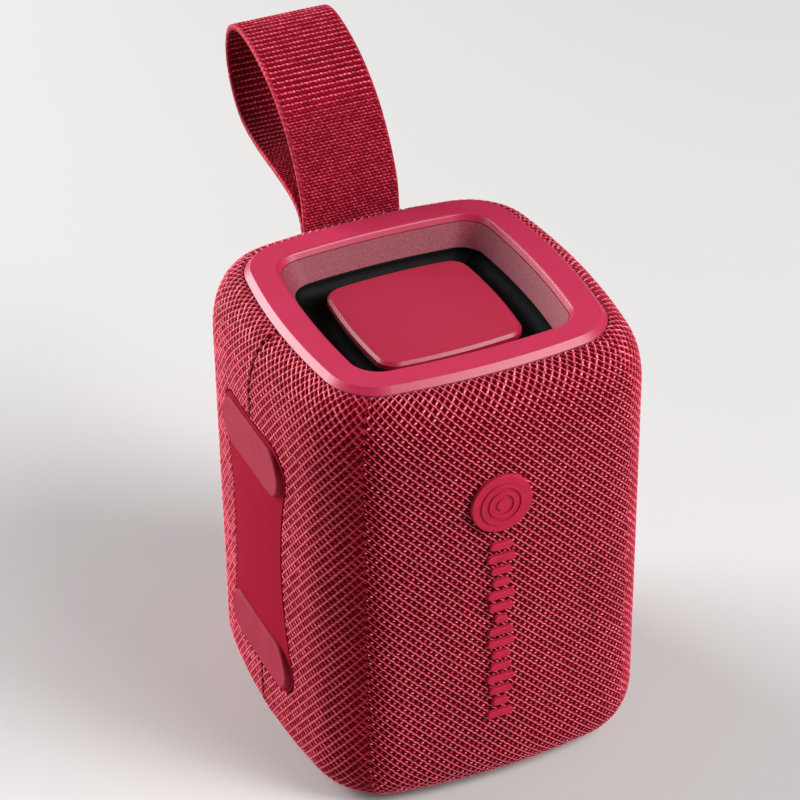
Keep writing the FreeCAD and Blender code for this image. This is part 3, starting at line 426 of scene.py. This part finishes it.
def hard_part_shape(name):
    """Triangles of a CAD node in millimetres, for finding what lies near it."""
    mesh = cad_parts[name].data
    points = np.zeros(len(mesh.vertices) * 3, np.float32)
    mesh.vertices.foreach_get("co", points)
    points = points.reshape(-1, 3) / MM
    mesh.calc_loop_triangles()
    corners = np.zeros(len(mesh.loop_triangles) * 3, np.int32)
    mesh.loop_triangles.foreach_get("vertices", corners)
    return BVHTree.FromPolygons(points.tolist(), corners.reshape(-1, 3).tolist()), points


def hard_part_dip(points, normals, name, depth):
    """How much the knit dips at a part set into the sleeve, and which points lie over it.

    depth is how far under the sleeve the part may lie."""
    tree, shape = hard_part_shape(name)
    margin = np.array([ROLLED_EDGE + depth, ROLLED_EDGE + depth, ROLLED_EDGE])
    inside = (points > shape.min(0) - margin) & (points < shape.max(0) + margin)
    dip = np.zeros(points.shape[:2])
    over = np.zeros(points.shape[:2], bool)
    for row, column in np.argwhere(inside.all(-1)):
        point, normal = points[row, column], normals[row, column]
        if (normal * shape.mean(0)).sum() < 0:
            continue
        start = Vector(point + normal * RAY_START)
        if tree.ray_cast(start, Vector(-normal), depth + RAY_START)[0] is not None:
            over[row, column] = True
            dip[row, column] = 1
        else:
            distance = tree.find_nearest(Vector(point), ROLLED_EDGE)[3]
            if distance is not None:
                dip[row, column] = 1 - distance / ROLLED_EDGE
    return dip, over


def slot_dip(points):
    """The same as hard_part_dip gives, for the slot that the webbing comes out of."""
    y, z = points[..., 1] - STRAP_ROOT[0], points[..., 2] - STRAP_ROOT[1]
    out = -math.sin(STRAP_TILT) * y + math.cos(STRAP_TILT) * z
    side = math.cos(STRAP_TILT) * y + math.sin(STRAP_TILT) * z
    beyond_x = np.maximum(np.abs(points[..., 0]) - SLOT_HALF_WIDTH, 0)
    beyond_y = np.maximum(np.maximum(side - SLOT_FAR, SLOT_NEAR - side), 0)
    distance = np.hypot(beyond_x, beyond_y)
    here = np.abs(out) < SLOT_REACH
    dip = np.where(here, np.clip(1 - distance / ROLLED_EDGE, 0, 1), 0)
    return dip, here & (distance == 0)


def seam_relief(from_seam, up):
    """Depth of the seam's groove with its stitch holes, in shares of SEAM_DEPTH."""
    hole = smooth(0.5 + HOLE_EDGE * np.cos(2 * math.pi * up / STITCH_PITCH))
    width = GROOVE_WIDTH + HOLE_WIDENS * hole
    depth = GROOVE_BETWEEN + (1 - GROOVE_BETWEEN) * hole
    groove = np.exp(-((from_seam / width) ** 2)) * depth
    return groove - LIP_HIGH * np.exp(-(((np.abs(from_seam) - LIP_PLACE) / LIP_WIDTH) ** 2))


def sleeve_dips(points, normals):
    """How much the knit dips at the parts and the slot in it, and which points they cover."""
    cuts = [hard_part_dip(points, normals, name, depth) for name, depth in HARD_PARTS.items()]
    cuts.append(slot_dip(points))
    dips, covers = zip(*cuts)
    return smooth(np.max(dips, axis=0)), np.any(covers, axis=0)


def knitted_sleeve(material):
    """The sleeve's panels, cut out of one grid so that the knit runs across them."""
    points, shares, run, spread, hidden = sleeve_base()
    normals = grid_normals(points, closed=True)
    columns = points.shape[1]
    round_body = girth(HALF_X, HALF_Y, BODY_EXPONENT)
    right = np.broadcast_to(shares * CELLS_ROUND, points.shape[:2])
    up = np.broadcast_to(-run[:, None] / CELL_HEIGHT, points.shape[:2])
    openness = smooth(OPENING * (1 - spread))[:, None]
    lift, tone = knit_relief(right, up, openness)

    # the +X side counts as far away from the seam
    from_seam = np.where(points[..., 0] < 0, points[..., 1] - SEAM_Y, HALF_Y)
    seam = seam_relief(from_seam, -run[:, None])
    dip, over = sleeve_dips(points, normals)
    quiet = smooth(hidden / TUCK_EASE)[:, None]
    height = CREST - RELIEF * (1 - lift) * (1 - quiet) - quiet * TUCK_SINK
    height = height - ROLLED_DEPTH * dip - SEAM_DEPTH * seam * (1 - dip)
    # painted shade: darker where the knit dips to a hard part or the slot, in the seam's groove and
    # in the tucks under the rings
    painted_shade = 1 - DIP_SHADE * dip - SEAM_SHADE * np.clip(seam, 0, 1) - TUCK_SHADE * quiet
    painted_shade = np.clip(painted_shade, 0, 1)
    knit = points + normals * height[..., None]
    knit_normals = grid_normals(knit, closed=True)

    width = columns // SLEEVE_PANELS
    flat_across = np.arange(width + 1) / columns * round_body
    flat = np.stack(np.broadcast_arrays(flat_across, -run[:, None]), -1).reshape(-1, 2)
    for index in range(SLEEVE_PANELS):
        picked = np.arange(index * width, (index + 1) * width + 1) % columns
        covered = over[:, picked]
        keep = ~(covered[:-1, :-1] & covered[1:, :-1] & covered[:-1, 1:] & covered[1:, 1:])
        faces = grid_faces(len(run), width + 1, keep=keep)
        used, faces = np.unique(faces, return_inverse=True)

        def on_panel(values):
            return values[:, picked].reshape(-1, *values.shape[2:])[used]

        piece = cloth_piece(f"sleeve_knit_{index + 1}", on_panel(knit), faces.reshape(-1, 4),
                            on_panel(knit_normals), map(on_panel, (lift, tone, painted_shade)),
                            flat[used], material)
        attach(piece, "body")
        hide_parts("fabric_sleeve")


def seam_stitches(material):
    """Short threads across the seam, one between each pair of stitch holes."""
    base, _, run, _, hidden = sleeve_base()
    open_run = run[hidden == 0]
    panel_low, panel_high = (np.array(corner)[2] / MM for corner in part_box("foot_panel"))
    first, last = math.ceil(open_run[0] / STITCH_PITCH), math.floor(open_run[-1] / STITCH_PITCH)
    ring = np.linspace(0, 2 * math.pi, THREAD_SIDES + 1)[:-1]
    circle = np.stack([np.cos(ring), 0 * ring, np.sin(ring)], 1)
    turn = np.linspace(-1, 1, STITCH_POINTS)
    points = []
    for place in (np.arange(first, last) + 0.5) * STITCH_PITCH:
        x = np.interp(place, run, base[:, 0, 0])
        z = np.interp(place, run, base[:, 0, 2])
        if panel_low - PANEL_CLEAR < z < panel_high + PANEL_CLEAR:
            continue
        path = np.stack([x + STITCH_SINK + STITCH_BOW * turn**2, SEAM_Y + STITCH_HALF * turn,
                         z + STITCH_LEAN * turn], 1)
        for centre, share in zip(path, turn):
            thin = THREAD_RADIUS * math.sqrt(max(1 - share**6, 0.05))  # the ends taper to a stub
            points.append(centre + thin * circle)
    points = np.concatenate(points)
    one = grid_faces(len(turn), len(ring), closed=True)
    faces = np.concatenate([one + start for start in range(0, len(points), len(turn) * len(ring))])
    # with no lift, tone or shade stored on them, the yarn colours them as its deepest hollow in full
    # painted shade
    piece = mesh_object("seam_stitches", points, faces)
    piece.data.materials.append(material)
    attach(piece, "body")


# ---- webbing loop -------------------------------------------------------------------


def smooth_path(corners, spacing):
    """Evenly spaced points on a smooth curve through the corners, and its length run."""
    corners = np.array(corners, float)
    ends = np.vstack([2 * corners[0] - corners[1], corners, 2 * corners[-1] - corners[-2]])
    dense = []
    for before, start, stop, after in zip(ends, ends[1:], ends[2:], ends[3:]):
        t = np.linspace(0, 1, SPLINE_POINTS, endpoint=False)[:, None]
        dense.append(0.5 * (2 * start + (stop - before) * t
                            + (2 * before - 5 * start + 4 * stop - after) * t**2
                            + (3 * start - before - 3 * stop + after) * t**3))
    dense = np.vstack(dense + [corners[-1:]])
    lengths = np.concatenate([[0], np.cumsum(np.linalg.norm(np.diff(dense, axis=0), axis=1))])
    count = round(lengths[-1] / spacing)
    run = np.linspace(0, lengths[-1], count + 1)
    return np.stack([np.interp(run, lengths, dense[:, axis]) for axis in (0, 1)], 1), run


def webbing_relief(run, across):
    """Height of the webbing, 0 between rows and 1 on a pick, how bright each pick is and
    how flat the webbing is pulled.

    Each row of picks is a quarter of a pick out of step with the one before."""
    row = np.round(run / ROW_PITCH)
    from_row = run / ROW_PITCH - row
    place = across / PICK_PITCH + PICK_STEP * np.mod(row, 4) + PICK_LEAN * from_row
    beat = 2 * math.pi * place
    luck = chance(row, np.round(place * 2 / 3), 4)
    root_distance = np.minimum(run, run[-1] - run)
    flat = 1 - smooth((root_distance - FLAT_RUN) / FLAT_EASE)
    high_row = np.mod(row, 2) == 0

    def by_row(high, low):
        return np.where(high_row, high[0] + high[1] * flat, low[0] + low[1] * flat)

    bumps = PICK_LEVEL + PICK_BUMP * np.cos(beat) + PICK_DRIFT * np.cos(beat * 2 / 3 + row)
    bumps = bumps * (1 - PICK_LUCK + PICK_LUCK * luck)
    from_ridge = from_row - ROW_WANDER * np.sin(beat / 3 + ROW_PHASE * row)
    ridge = np.exp(-((from_ridge / by_row(HIGH_ROW_WIDTH, LOW_ROW_WIDTH)) ** 2)) * bumps
    loops = 0.5 + 0.5 * np.cos(2 * math.pi * (run / KNOT_PITCH + KNOT_LEAN * across))
    edge = KNOT_LEVEL + KNOT_BUMP * loops * (1 - KNOT_LUCK + KNOT_LUCK * luck)
    at_edge = smooth((np.abs(across) - (WEB_WIDTH / 2 - SELVAGE)) / SELVAGE_EASE)
    lift = ridge * by_row(HIGH_ROW_LIFT, LOW_ROW_LIFT) * (1 - at_edge) + edge * at_edge
    return lift, luck, flat


def end_caps(rows, columns):
    """Quads that close both ends of a band whose section goes over one face and back."""
    half_turn = WEB_TURN_POINTS // 2
    first = np.arange(-half_turn, columns // 2 - half_turn - 1)
    mirror = columns - WEB_TURN_POINTS - 1
    quads = np.stack([first, first + 1, mirror - first - 1, mirror - first], 1) % columns
    return np.vstack([quads, quads[:, ::-1] + (rows - 1) * columns])


def webbing_section():
    """Places across the webbing, over one face and back, and which face each is on."""
    flat = WEB_WIDTH / 2 - WEB_EDGE
    face = np.linspace(-flat, flat, WEB_FACE_POINTS)
    turn = np.linspace(-math.pi / 2, math.pi / 2, WEB_TURN_POINTS + 2)[1:-1]
    bulge = WEB_EDGE * np.cos(turn)
    across = np.concatenate([face, flat + bulge, face[::-1], -flat - bulge])
    side = np.ones(WEB_FACE_POINTS)
    return across, np.concatenate([side, -np.sin(turn), -side, np.sin(turn)])


def webbing_loop(material):
    """The loop in two halves, each a closed band with ribs on both faces."""
    line, run = smooth_path(STRAP_LINE, ROW_PITCH / 4)
    along = np.gradient(line, axis=0)
    along /= np.linalg.norm(along, axis=1, keepdims=True)
    outward = np.stack([-along[:, 1], along[:, 0]], 1)  # away from the loop's hole
    across, level = webbing_section()
    lift, luck, flat = webbing_relief(run[:, None], across[None, :])
    on_face = np.where(np.abs(level) == 1, 1.0, TURN_RELIEF)
    offset = level * (WEB_THICK / 2 - WEB_RELIEF * (1 - lift) * on_face)
    points = np.empty((*lift.shape, 3))
    points[..., 0] = across
    points[..., 1:] = line[:, None, :] + outward[:, None, :] * offset[..., None]
    normals = -grid_normals(points, closed=True)
    # painted shade: the inner face darker where it is ribbed, inside the loop, and the outer face
    # darker along the flat run near each root
    painted_shade = 1 - np.where(level < 0, INNER_SHADE * (1 - flat), FLAT_SHADE * flat)
    places = np.stack(np.broadcast_arrays(across[None, :], run[:, None]), -1)
    middle = len(run) // 2
    halves = {"webbing_near_half": slice(0, middle + 1), "webbing_far_half": slice(middle, None)}
    for name, rows in halves.items():
        part = points[rows]
        faces = grid_faces(*part.shape[:2], closed=True)[:, ::-1]
        faces = np.vstack([faces, end_caps(*part.shape[:2])])
        piece = cloth_piece(name, part.reshape(-1, 3), faces, normals[rows].reshape(-1, 3),
                            (lift[rows], luck[rows], painted_shade[rows]), places[rows].reshape(-1, 2),
                            material)
        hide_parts("strap_loop")
        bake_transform(piece)


# ---- rubber rolls -------------------------------------------------------------------


def radiator_rolls(end, material):
    """The rubber round one radiator: four sides, each bending from the frame to the plate."""
    rim, lip = HEIGHT - RIM_DROP, HEIGHT - LIP_DROP
    middle, radius = (ROLL_OUTER + ROLL_INNER) / 2, (ROLL_OUTER - ROLL_INNER) / 2
    turn = np.linspace(0, math.pi, ROLL_TURN_POINTS)

    def face(grow):
        level = (rim + lip) / 2 + (rim - lip) / 2 * np.cos(turn)
        half = np.concatenate([[RIM_HALF], middle + (radius + grow) * np.cos(turn), [LIP_HALF]])
        low = level - (radius + grow) * np.sin(turn)
        return half, np.concatenate([[rim - grow], low, [lip - grow]])

    upper_half, upper_z = face(-RUBBER / 2)
    lower_half, lower_z = face(RUBBER / 2)
    halves = np.concatenate([upper_half, lower_half[::-1]])
    levels = np.concatenate([upper_z, lower_z[::-1]])
    if end == "bottom":
        levels = HEIGHT - levels
    for side, (x, y) in enumerate([(-1, 0), (0, -1), (1, 0), (0, 1)]):
        shares = side / 4 + np.linspace(-1 / 8, 1 / 8, ROLL_SIDE_POINTS)
        rows = []
        for half, z in zip(halves, levels):
            row = outline(half, half, WELL_EXPONENT, shares)
            rows.append(np.column_stack([row, np.full(len(row), z)]))
        points = np.stack(rows)
        points = np.concatenate([points, points[:1]])
        faces = grid_faces(*points.shape[:2])
        if end == "bottom":
            faces = faces[:, ::-1]
        piece = mesh_object(f"{end}_roll_side_{side + 1}", points.reshape(-1, 3), faces)
        piece.data.materials.append(material)
        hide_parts(f"{end}_radiator_surround")
        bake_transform(piece)


# ---- materials ----------------------------------------------------------------------


def tint(red, green, blue):
    """A colour from its screen values, 0 to 255, as the shader wants it."""
    def linear(value):
        value = value / 255
        return value / 12.92 if value <= 0.04045 else ((value + 0.055) / 1.055) ** 2.4
    return (linear(red), linear(green), linear(blue), 1.0)


class Paint:
    """A material being put together around its Principled shader."""

    def __init__(self, name, roughness, **sockets):
        self.material = bpy.data.materials.new(name + "_finish")
        self.material.use_nodes = True
        self.tree = self.material.node_tree
        self.shader = self.tree.nodes["Principled BSDF"]
        self.set("Roughness", roughness)
        for socket, value in sockets.items():
            self.set(socket.replace("_", " "), value)
        self.place = self.node("ShaderNodeTexCoord").outputs["Object"]

    def set(self, socket, value):
        """Sets or links one of the shader's own sockets."""
        self.fill(self.shader.inputs[socket], value)

    def fill(self, socket, value):
        if isinstance(value, bpy.types.NodeSocket):
            self.tree.links.new(value, socket)
        else:
            socket.default_value = value

    def node(self, kind, values=(), **settings):
        """A node with its settings, and its input sockets filled by name or number."""
        made = self.tree.nodes.new(kind)
        for name, value in settings.items():
            setattr(made, name, value)
        for key, value in dict(values).items():
            self.fill(made.inputs[key], value)
        return made

    def stored(self, name):
        return self.node("ShaderNodeAttribute", attribute_name=name).outputs["Fac"]

    def noise(self, scale, detail=2.0, where=None, stretch=None):
        where = where or self.place
        if stretch:
            where = self.node("ShaderNodeMapping", {"Vector": where, "Scale": stretch}).outputs[0]
        values = {"Vector": where, "Scale": scale, "Detail": detail}
        return self.node("ShaderNodeTexNoise", values).outputs["Fac"]

    def math(self, operation, first, second=0.5):
        return self.node("ShaderNodeMath", {0: first, 1: second}, operation=operation).outputs[0]

    def spread(self, value, low, high, start=0.0, stop=1.0):
        """Turns a value from start to stop into one from low to high."""
        values = {"Value": value, "From Min": start, "From Max": stop, "To Min": low, "To Max": high}
        return self.node("ShaderNodeMapRange", values).outputs[0]

    def ramp(self, value, stops):
        made = self.node("ShaderNodeValToRGB", {"Fac": value})
        while len(made.color_ramp.elements) < len(stops):
            made.color_ramp.elements.new(0.5)
        for element, (position, colour) in zip(made.color_ramp.elements, stops):
            element.position = position
            element.color = colour
        return made.outputs["Color"]

    def mix(self, factor, first, second, blend="MIX"):
        made = self.node("ShaderNodeMix", data_type="RGBA", blend_type=blend)
        for number, value in ((0, factor), (6, first), (7, second)):  # the colours' own sockets
            self.fill(made.inputs[number], value)
        return made.outputs[2]

    def bump(self, height, strength, depth):
        """Adds a bump whose depth is in millimetres."""
        values = {"Height": height, "Strength": strength, "Distance": depth * MM}
        self.set("Normal", self.node("ShaderNodeBump", values).outputs[0])


def yarn(name, colours, fibre_turn, variety):
    """Knitted or woven yarn, coloured by height: painted shade in hollows, painted highlight on
    crests.
    """
    paint = Paint(name, 0.5, Sheen_Weight=0.05, Sheen_Roughness=0.4, Specular_IOR_Level=0.25)
    for socket in ("Specular Tint", "Sheen Tint"):
        paint.set(socket, tint(255, 130, 150))
    cloth = paint.node("ShaderNodeUVMap", uv_map="knit").outputs[0]
    turning = {"Vector": cloth, "Rotation": (0, 0, fibre_turn)}
    turned = paint.node("ShaderNodeMapping", turning).outputs[0]
    fibres = paint.noise(1.0, 3.0, turned, FIBRES)
    fibre_lift = paint.spread(fibres, -FIBRE_LIFT, FIBRE_LIFT)
    height = paint.math("ADD", paint.stored("lift"), fibre_lift)
    colour = paint.ramp(height, list(zip(YARN_STOPS, colours)))
    patches = paint.spread(paint.noise(CLOTH_PATCHES, 3.0), 0.9, 1.1, 0.3, 0.7)
    tone = paint.spread(paint.stored("tone"), 1 - variety, 1 + variety)
    tone = paint.math("MULTIPLY", tone, patches)
    tone = paint.math("MULTIPLY", tone, paint.spread(paint.stored("painted_shade"), DEEPEST, 1.0))
    grey = paint.node("ShaderNodeCombineColor", {0: tone, 1: tone, 2: tone}).outputs[0]
    paint.set("Base Color", paint.mix(1.0, colour, grey, "MULTIPLY"))
    paint.set("Roughness", paint.spread(height, 0.92, 0.38, 0.2, 0.95))
    paint.bump(fibres, 0.5, 0.06)
    return paint.material


def satin(name, colour, pale, roughness, grain=SPECK, coat=0.0, gloss=0.5):
    """Moulded plastic or rubber with a fine spark-eroded grain and faint mottling."""
    paint = Paint(name, roughness, Coat_Weight=coat, Coat_Roughness=0.35, Specular_IOR_Level=gloss)
    mottle = paint.noise(MOTTLE, 4.0)
    speck = paint.noise(grain, 2.0)
    blend = paint.math("ADD", paint.spread(mottle, 0.0, 0.6), paint.spread(speck, -0.2, 0.4))
    paint.set("Base Color", paint.mix(blend, colour, pale))
    worn = paint.math("ADD", paint.spread(mottle, -0.04, 0.05), paint.spread(speck, -0.04, 0.04))
    paint.set("Roughness", paint.math("ADD", worn, roughness))
    paint.bump(speck, 0.35, 0.03)
    return paint.material


def ring_finish():
    """Rings, smooth but for the grained wall under the well's collar, and radiator plates."""
    paint = Paint("ring_crimson", 0.4)
    x, y, z = paint.node("ShaderNodeSeparateXYZ", {0: paint.place}).outputs
    half = HEIGHT * MM / 2
    from_end = paint.math("SUBTRACT", half, paint.math("ABSOLUTE", paint.math("SUBTRACT", z, half)))
    reach = paint.math("MAXIMUM", paint.math("ABSOLUTE", x), paint.math("ABSOLUTE", y))
    below = paint.spread(from_end, 0.0, 1.0, COLLAR * MM, (COLLAR + COLLAR_EDGE) * MM)
    wall = paint.math("MULTIPLY", below, paint.math("GREATER_THAN", reach, WALL_REACH * MM))
    mottle = paint.noise(MOTTLE, 4.0)
    speck = paint.noise(SPECK, 2.0)
    coarse = paint.spread(paint.noise(WALL_GRAIN, 1.5), 0.0, 1.0, 0.3, 0.7)
    patches = paint.spread(mottle, 0.3, 0.7)
    smooth_colour = paint.mix(patches, tint(174, 26, 66), tint(194, 42, 82))
    # the walls' grey-pink grain colour is partly the grain's own and partly painted sheen
    grain_and_sheen_colour = paint.mix(coarse, tint(122, 36, 51), tint(156, 70, 84))
    plate = paint.math("LESS_THAN", reach, PLATE_REACH * MM)
    smooth_colour = paint.mix(plate, smooth_colour, tint(168, 24, 58))
    plate_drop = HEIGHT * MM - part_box("top_radiator_plate")[1][2]
    below_face = paint.math("SUBTRACT", from_end, paint.math("MULTIPLY", plate, plate_drop))
    face = paint.math("LESS_THAN", below_face, FACE_DEPTH * MM)
    paint.set("Base Color", paint.mix(wall, smooth_colour, grain_and_sheen_colour))
    plain = paint.math("ADD", paint.spread(mottle, 0.37, 0.41), paint.spread(speck, -0.03, 0.03))
    dull = paint.math("MULTIPLY", paint.math("MAXIMUM", wall, face), DULL)
    paint.set("Roughness", paint.math("ADD", plain, dull))
    fine = paint.math("MULTIPLY", speck, FINE_GRAIN)
    paint.bump(paint.math("ADD", fine, paint.math("MULTIPLY", wall, coarse)), 0.5, 0.05)
    return paint.material


def rubber_finish():
    """Soft crimson rubber, darker on the feet than in the badge: painted shade against the left
    light.
    """
    paint = Paint("rubber_crimson", 0.7, Specular_IOR_Level=0.2)
    y = paint.node("ShaderNodeSeparateXYZ", {0: paint.place}).outputs[1]
    badge = paint.math("LESS_THAN", y, BADGE_FRONT * MM)
    mottle = paint.spread(paint.noise(MOTTLE, 4.0), 0.0, 1.0, 0.35, 0.65)
    speck = paint.noise(RUBBER_SPECK, 2.0)
    # painted shade: the feet's copy of the rubber is darker, to offset the strong light from the left
    # on their face
    painted_shade_foot = paint.mix(mottle, tint(144, 22, 48), tint(150, 30, 56))
    deep = paint.mix(mottle, tint(174, 24, 54), tint(182, 30, 60))
    paint.set("Base Color", paint.mix(badge, painted_shade_foot, deep))
    paint.set("Roughness", paint.spread(speck, 0.64, 0.78))
    paint.bump(speck, 0.35, 0.03)
    return paint.material


def metal(name, colour, dark, roughness, stretch):
    """Plated or drawn metal with fine lines."""
    paint = Paint(name, roughness, Metallic=1.0)
    lines = paint.noise(1.0, 3.0, None, stretch)
    paint.set("Base Color", paint.mix(lines, dark, colour))
    paint.set("Roughness", paint.spread(lines, roughness - 0.08, roughness + 0.12))
    paint.bump(lines, 0.2, 0.02)
    return paint.material


def fibrous(name, colour, dark, scale, roughness):
    """Paper, cloth or foam: a coarse irregular surface."""
    paint = Paint(name, roughness)
    values = {"Vector": paint.place, "Scale": scale}
    cells = paint.node("ShaderNodeTexVoronoi", values).outputs["Distance"]
    fuzz = paint.noise(scale * 1.7, 4.0)
    mixed = paint.math("MULTIPLY", cells, fuzz)
    paint.set("Base Color", paint.mix(paint.spread(mixed, 0.0, 1.0, 0.0, 0.4), dark, colour))
    paint.set("Roughness", paint.spread(fuzz, roughness - 0.08, roughness + 0.08))
    paint.bump(mixed, 0.5, 0.1)
    return paint.material


def frosted(name):
    """Milky clear plastic of a light guide."""
    paint = Paint(name, 0.35, Transmission_Weight=0.6, IOR=1.49)
    cloud = paint.noise(900.0, 3.0)
    paint.set("Base Color", paint.mix(cloud, tint(235, 225, 228), tint(250, 248, 248)))
    paint.set("Roughness", paint.spread(cloud, 0.28, 0.42))
    return paint.material


def all_materials():
    """One material for each of the record's slots."""
    # hollow to crest, in both lists: the darkest colours are painted shade, the palest pink ones
    # painted highlight
    knit = [tint(70, 0, 6), tint(118, 2, 18), tint(196, 52, 76),
            tint(246, 148, 162), tint(255, 204, 210)]
    weave = [tint(70, 0, 8), tint(126, 2, 24), tint(182, 34, 60),
             tint(224, 108, 124), tint(250, 168, 178)]
    return {
        "fabric_red": yarn("fabric_red", knit, math.radians(45), 0.2),
        "webbing_red": yarn("webbing_red", weave, 0.0, 0.16),
        "ring_crimson": ring_finish(),
        "panel_crimson": satin("panel_crimson", tint(140, 8, 36), tint(146, 12, 40), 0.8, gloss=0.05),
        "rubber_crimson": rubber_finish(),
        "rubber_black": satin("rubber_black", tint(4, 4, 5), tint(7, 7, 8), 0.6,
                              grain=RUBBER_SPECK, gloss=0.12),
        "housing_plastic": satin("housing_plastic", tint(22, 20, 22), tint(34, 31, 33), 0.55,
                                 grain=1800.0),
        "steel": metal("steel", tint(200, 200, 205), tint(150, 150, 156), 0.34,
                       (900.0, 900.0, 5000.0)),
        "ferrite": fibrous("ferrite", tint(52, 52, 56), tint(30, 30, 34), 2600.0, 0.6),
        "cone_paper": fibrous("cone_paper", tint(46, 44, 44), tint(24, 23, 24), 1400.0, 0.85),
        "spider_cloth": fibrous("spider_cloth", tint(196, 160, 92), tint(140, 104, 52), 1500.0, 0.9),
        "copper": metal("copper", tint(214, 122, 78), tint(150, 74, 42), 0.3,
                        (900.0, 7000.0, 900.0)),
        "foam_black": fibrous("foam_black", tint(30, 30, 32), tint(12, 12, 13), 1800.0, 0.95),
        "board_green": satin("board_green", tint(16, 84, 50), tint(26, 106, 64), 0.35,
                             grain=900.0, coat=0.4),
        "chip_black": satin("chip_black", tint(20, 20, 22), tint(34, 34, 37), 0.6, grain=4000.0),
        "cell_wrap": satin("cell_wrap", tint(40, 62, 120), tint(52, 78, 140), 0.3,
                           grain=700.0, coat=0.5),
        "lens_clear": frosted("lens_clear"),
    }


def paint_cad_nodes(materials):
    """Gives each CAD node its slot's material."""
    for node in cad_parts.values():
        for slot in node.material_slots:
            slot.material = materials[slot.material.name]


# ---- studio -------------------------------------------------------------------------


def camera():
    """At the reference view: a long lens, from the front left and well above."""
    turn, rise, roll = math.radians(-23.88), math.radians(34.09), math.radians(-0.85)
    away, shift_right, shift_up = 0.6789, -0.00536, -0.02538
    back = Vector((math.sin(turn) * math.cos(rise), -math.cos(turn) * math.cos(rise), math.sin(rise)))
    level = Vector((math.cos(turn), math.sin(turn), 0))
    over = back.cross(level)
    right = level * math.cos(roll) + over * math.sin(roll)
    up = over * math.cos(roll) - level * math.sin(roll)
    place = Vector((0, 0, HEIGHT * MM)) + back * away + right * shift_right + up * shift_up
    data = bpy.data.cameras.new("camera")
    data.sensor_width = 36.0
    data.lens = 133.8
    data.clip_end = 50.0
    made = bpy.data.objects.new("camera", data)
    made.matrix_world = Matrix((right, up, back)).transposed().to_4x4()
    made.location = place
    bpy.context.scene.collection.objects.link(made)
    bpy.context.scene.camera = made


def softbox(name, place, width, height, power):
    """A soft rectangular light that faces the middle of the speaker."""
    data = bpy.data.lights.new(name, "AREA")
    data.shape = "RECTANGLE"
    data.size, data.size_y = width, height
    data.energy = power
    made = bpy.data.objects.new(name, data)
    made.location = place
    aim = Vector((0, 0, HEIGHT * MM / 2)) - Vector(place)
    made.rotation_euler = aim.to_track_quat("-Z", "Y").to_euler()
    bpy.context.scene.collection.objects.link(made)


def studio():
    """Plain pale floor and sky, two softboxes at the front right and one at the back left."""
    radius, drop, sides = 4, 0.0002, 96
    rim = np.linspace(0, 2 * math.pi, sides + 1)[:-1]
    corners = [(radius * math.cos(turn), radius * math.sin(turn), -drop) for turn in rim]
    mesh = bpy.data.meshes.new("floor")
    mesh.from_pydata(corners, [], [list(range(sides))])
    floor = bpy.data.objects.new("floor", mesh)
    bpy.context.scene.collection.objects.link(floor)
    paint = Paint("floor", 0.8, Specular_IOR_Level=0.1)
    cloud = paint.noise(3.0, 2.0)
    paint.set("Base Color", paint.mix(cloud, tint(204, 203, 202), tint(210, 209, 208)))
    floor.data.materials.append(paint.material)
    world = bpy.data.worlds.new("studio")
    world.use_nodes = True
    sky = world.node_tree.nodes["Background"]
    sky.inputs["Color"].default_value = (0.86, 0.86, 0.87, 1)
    sky.inputs["Strength"].default_value = 0.12
    bpy.context.scene.world = world
    softbox("front_right_light", (0.8, -0.82, 0.8), width=0.6, height=0.6, power=16)
    softbox("front_light", (0.42, -0.72, 1.02), width=0.5, height=0.4, power=6)
    softbox("back_left_light", (-0.84, 0.94, 0.5), width=1.0, height=0.9, power=32)
    bpy.context.scene.view_settings.view_transform = "Standard"


# ---- the whole scene ----------------------------------------------------------------

camera()
studio()
materials = all_materials()
paint_cad_nodes(materials)
knitted_sleeve(materials["fabric_red"])
seam_stitches(materials["fabric_red"])
webbing_loop(materials["webbing_red"])
for end in ("top", "bottom"):
    radiator_rolls(end, materials["rubber_black"])
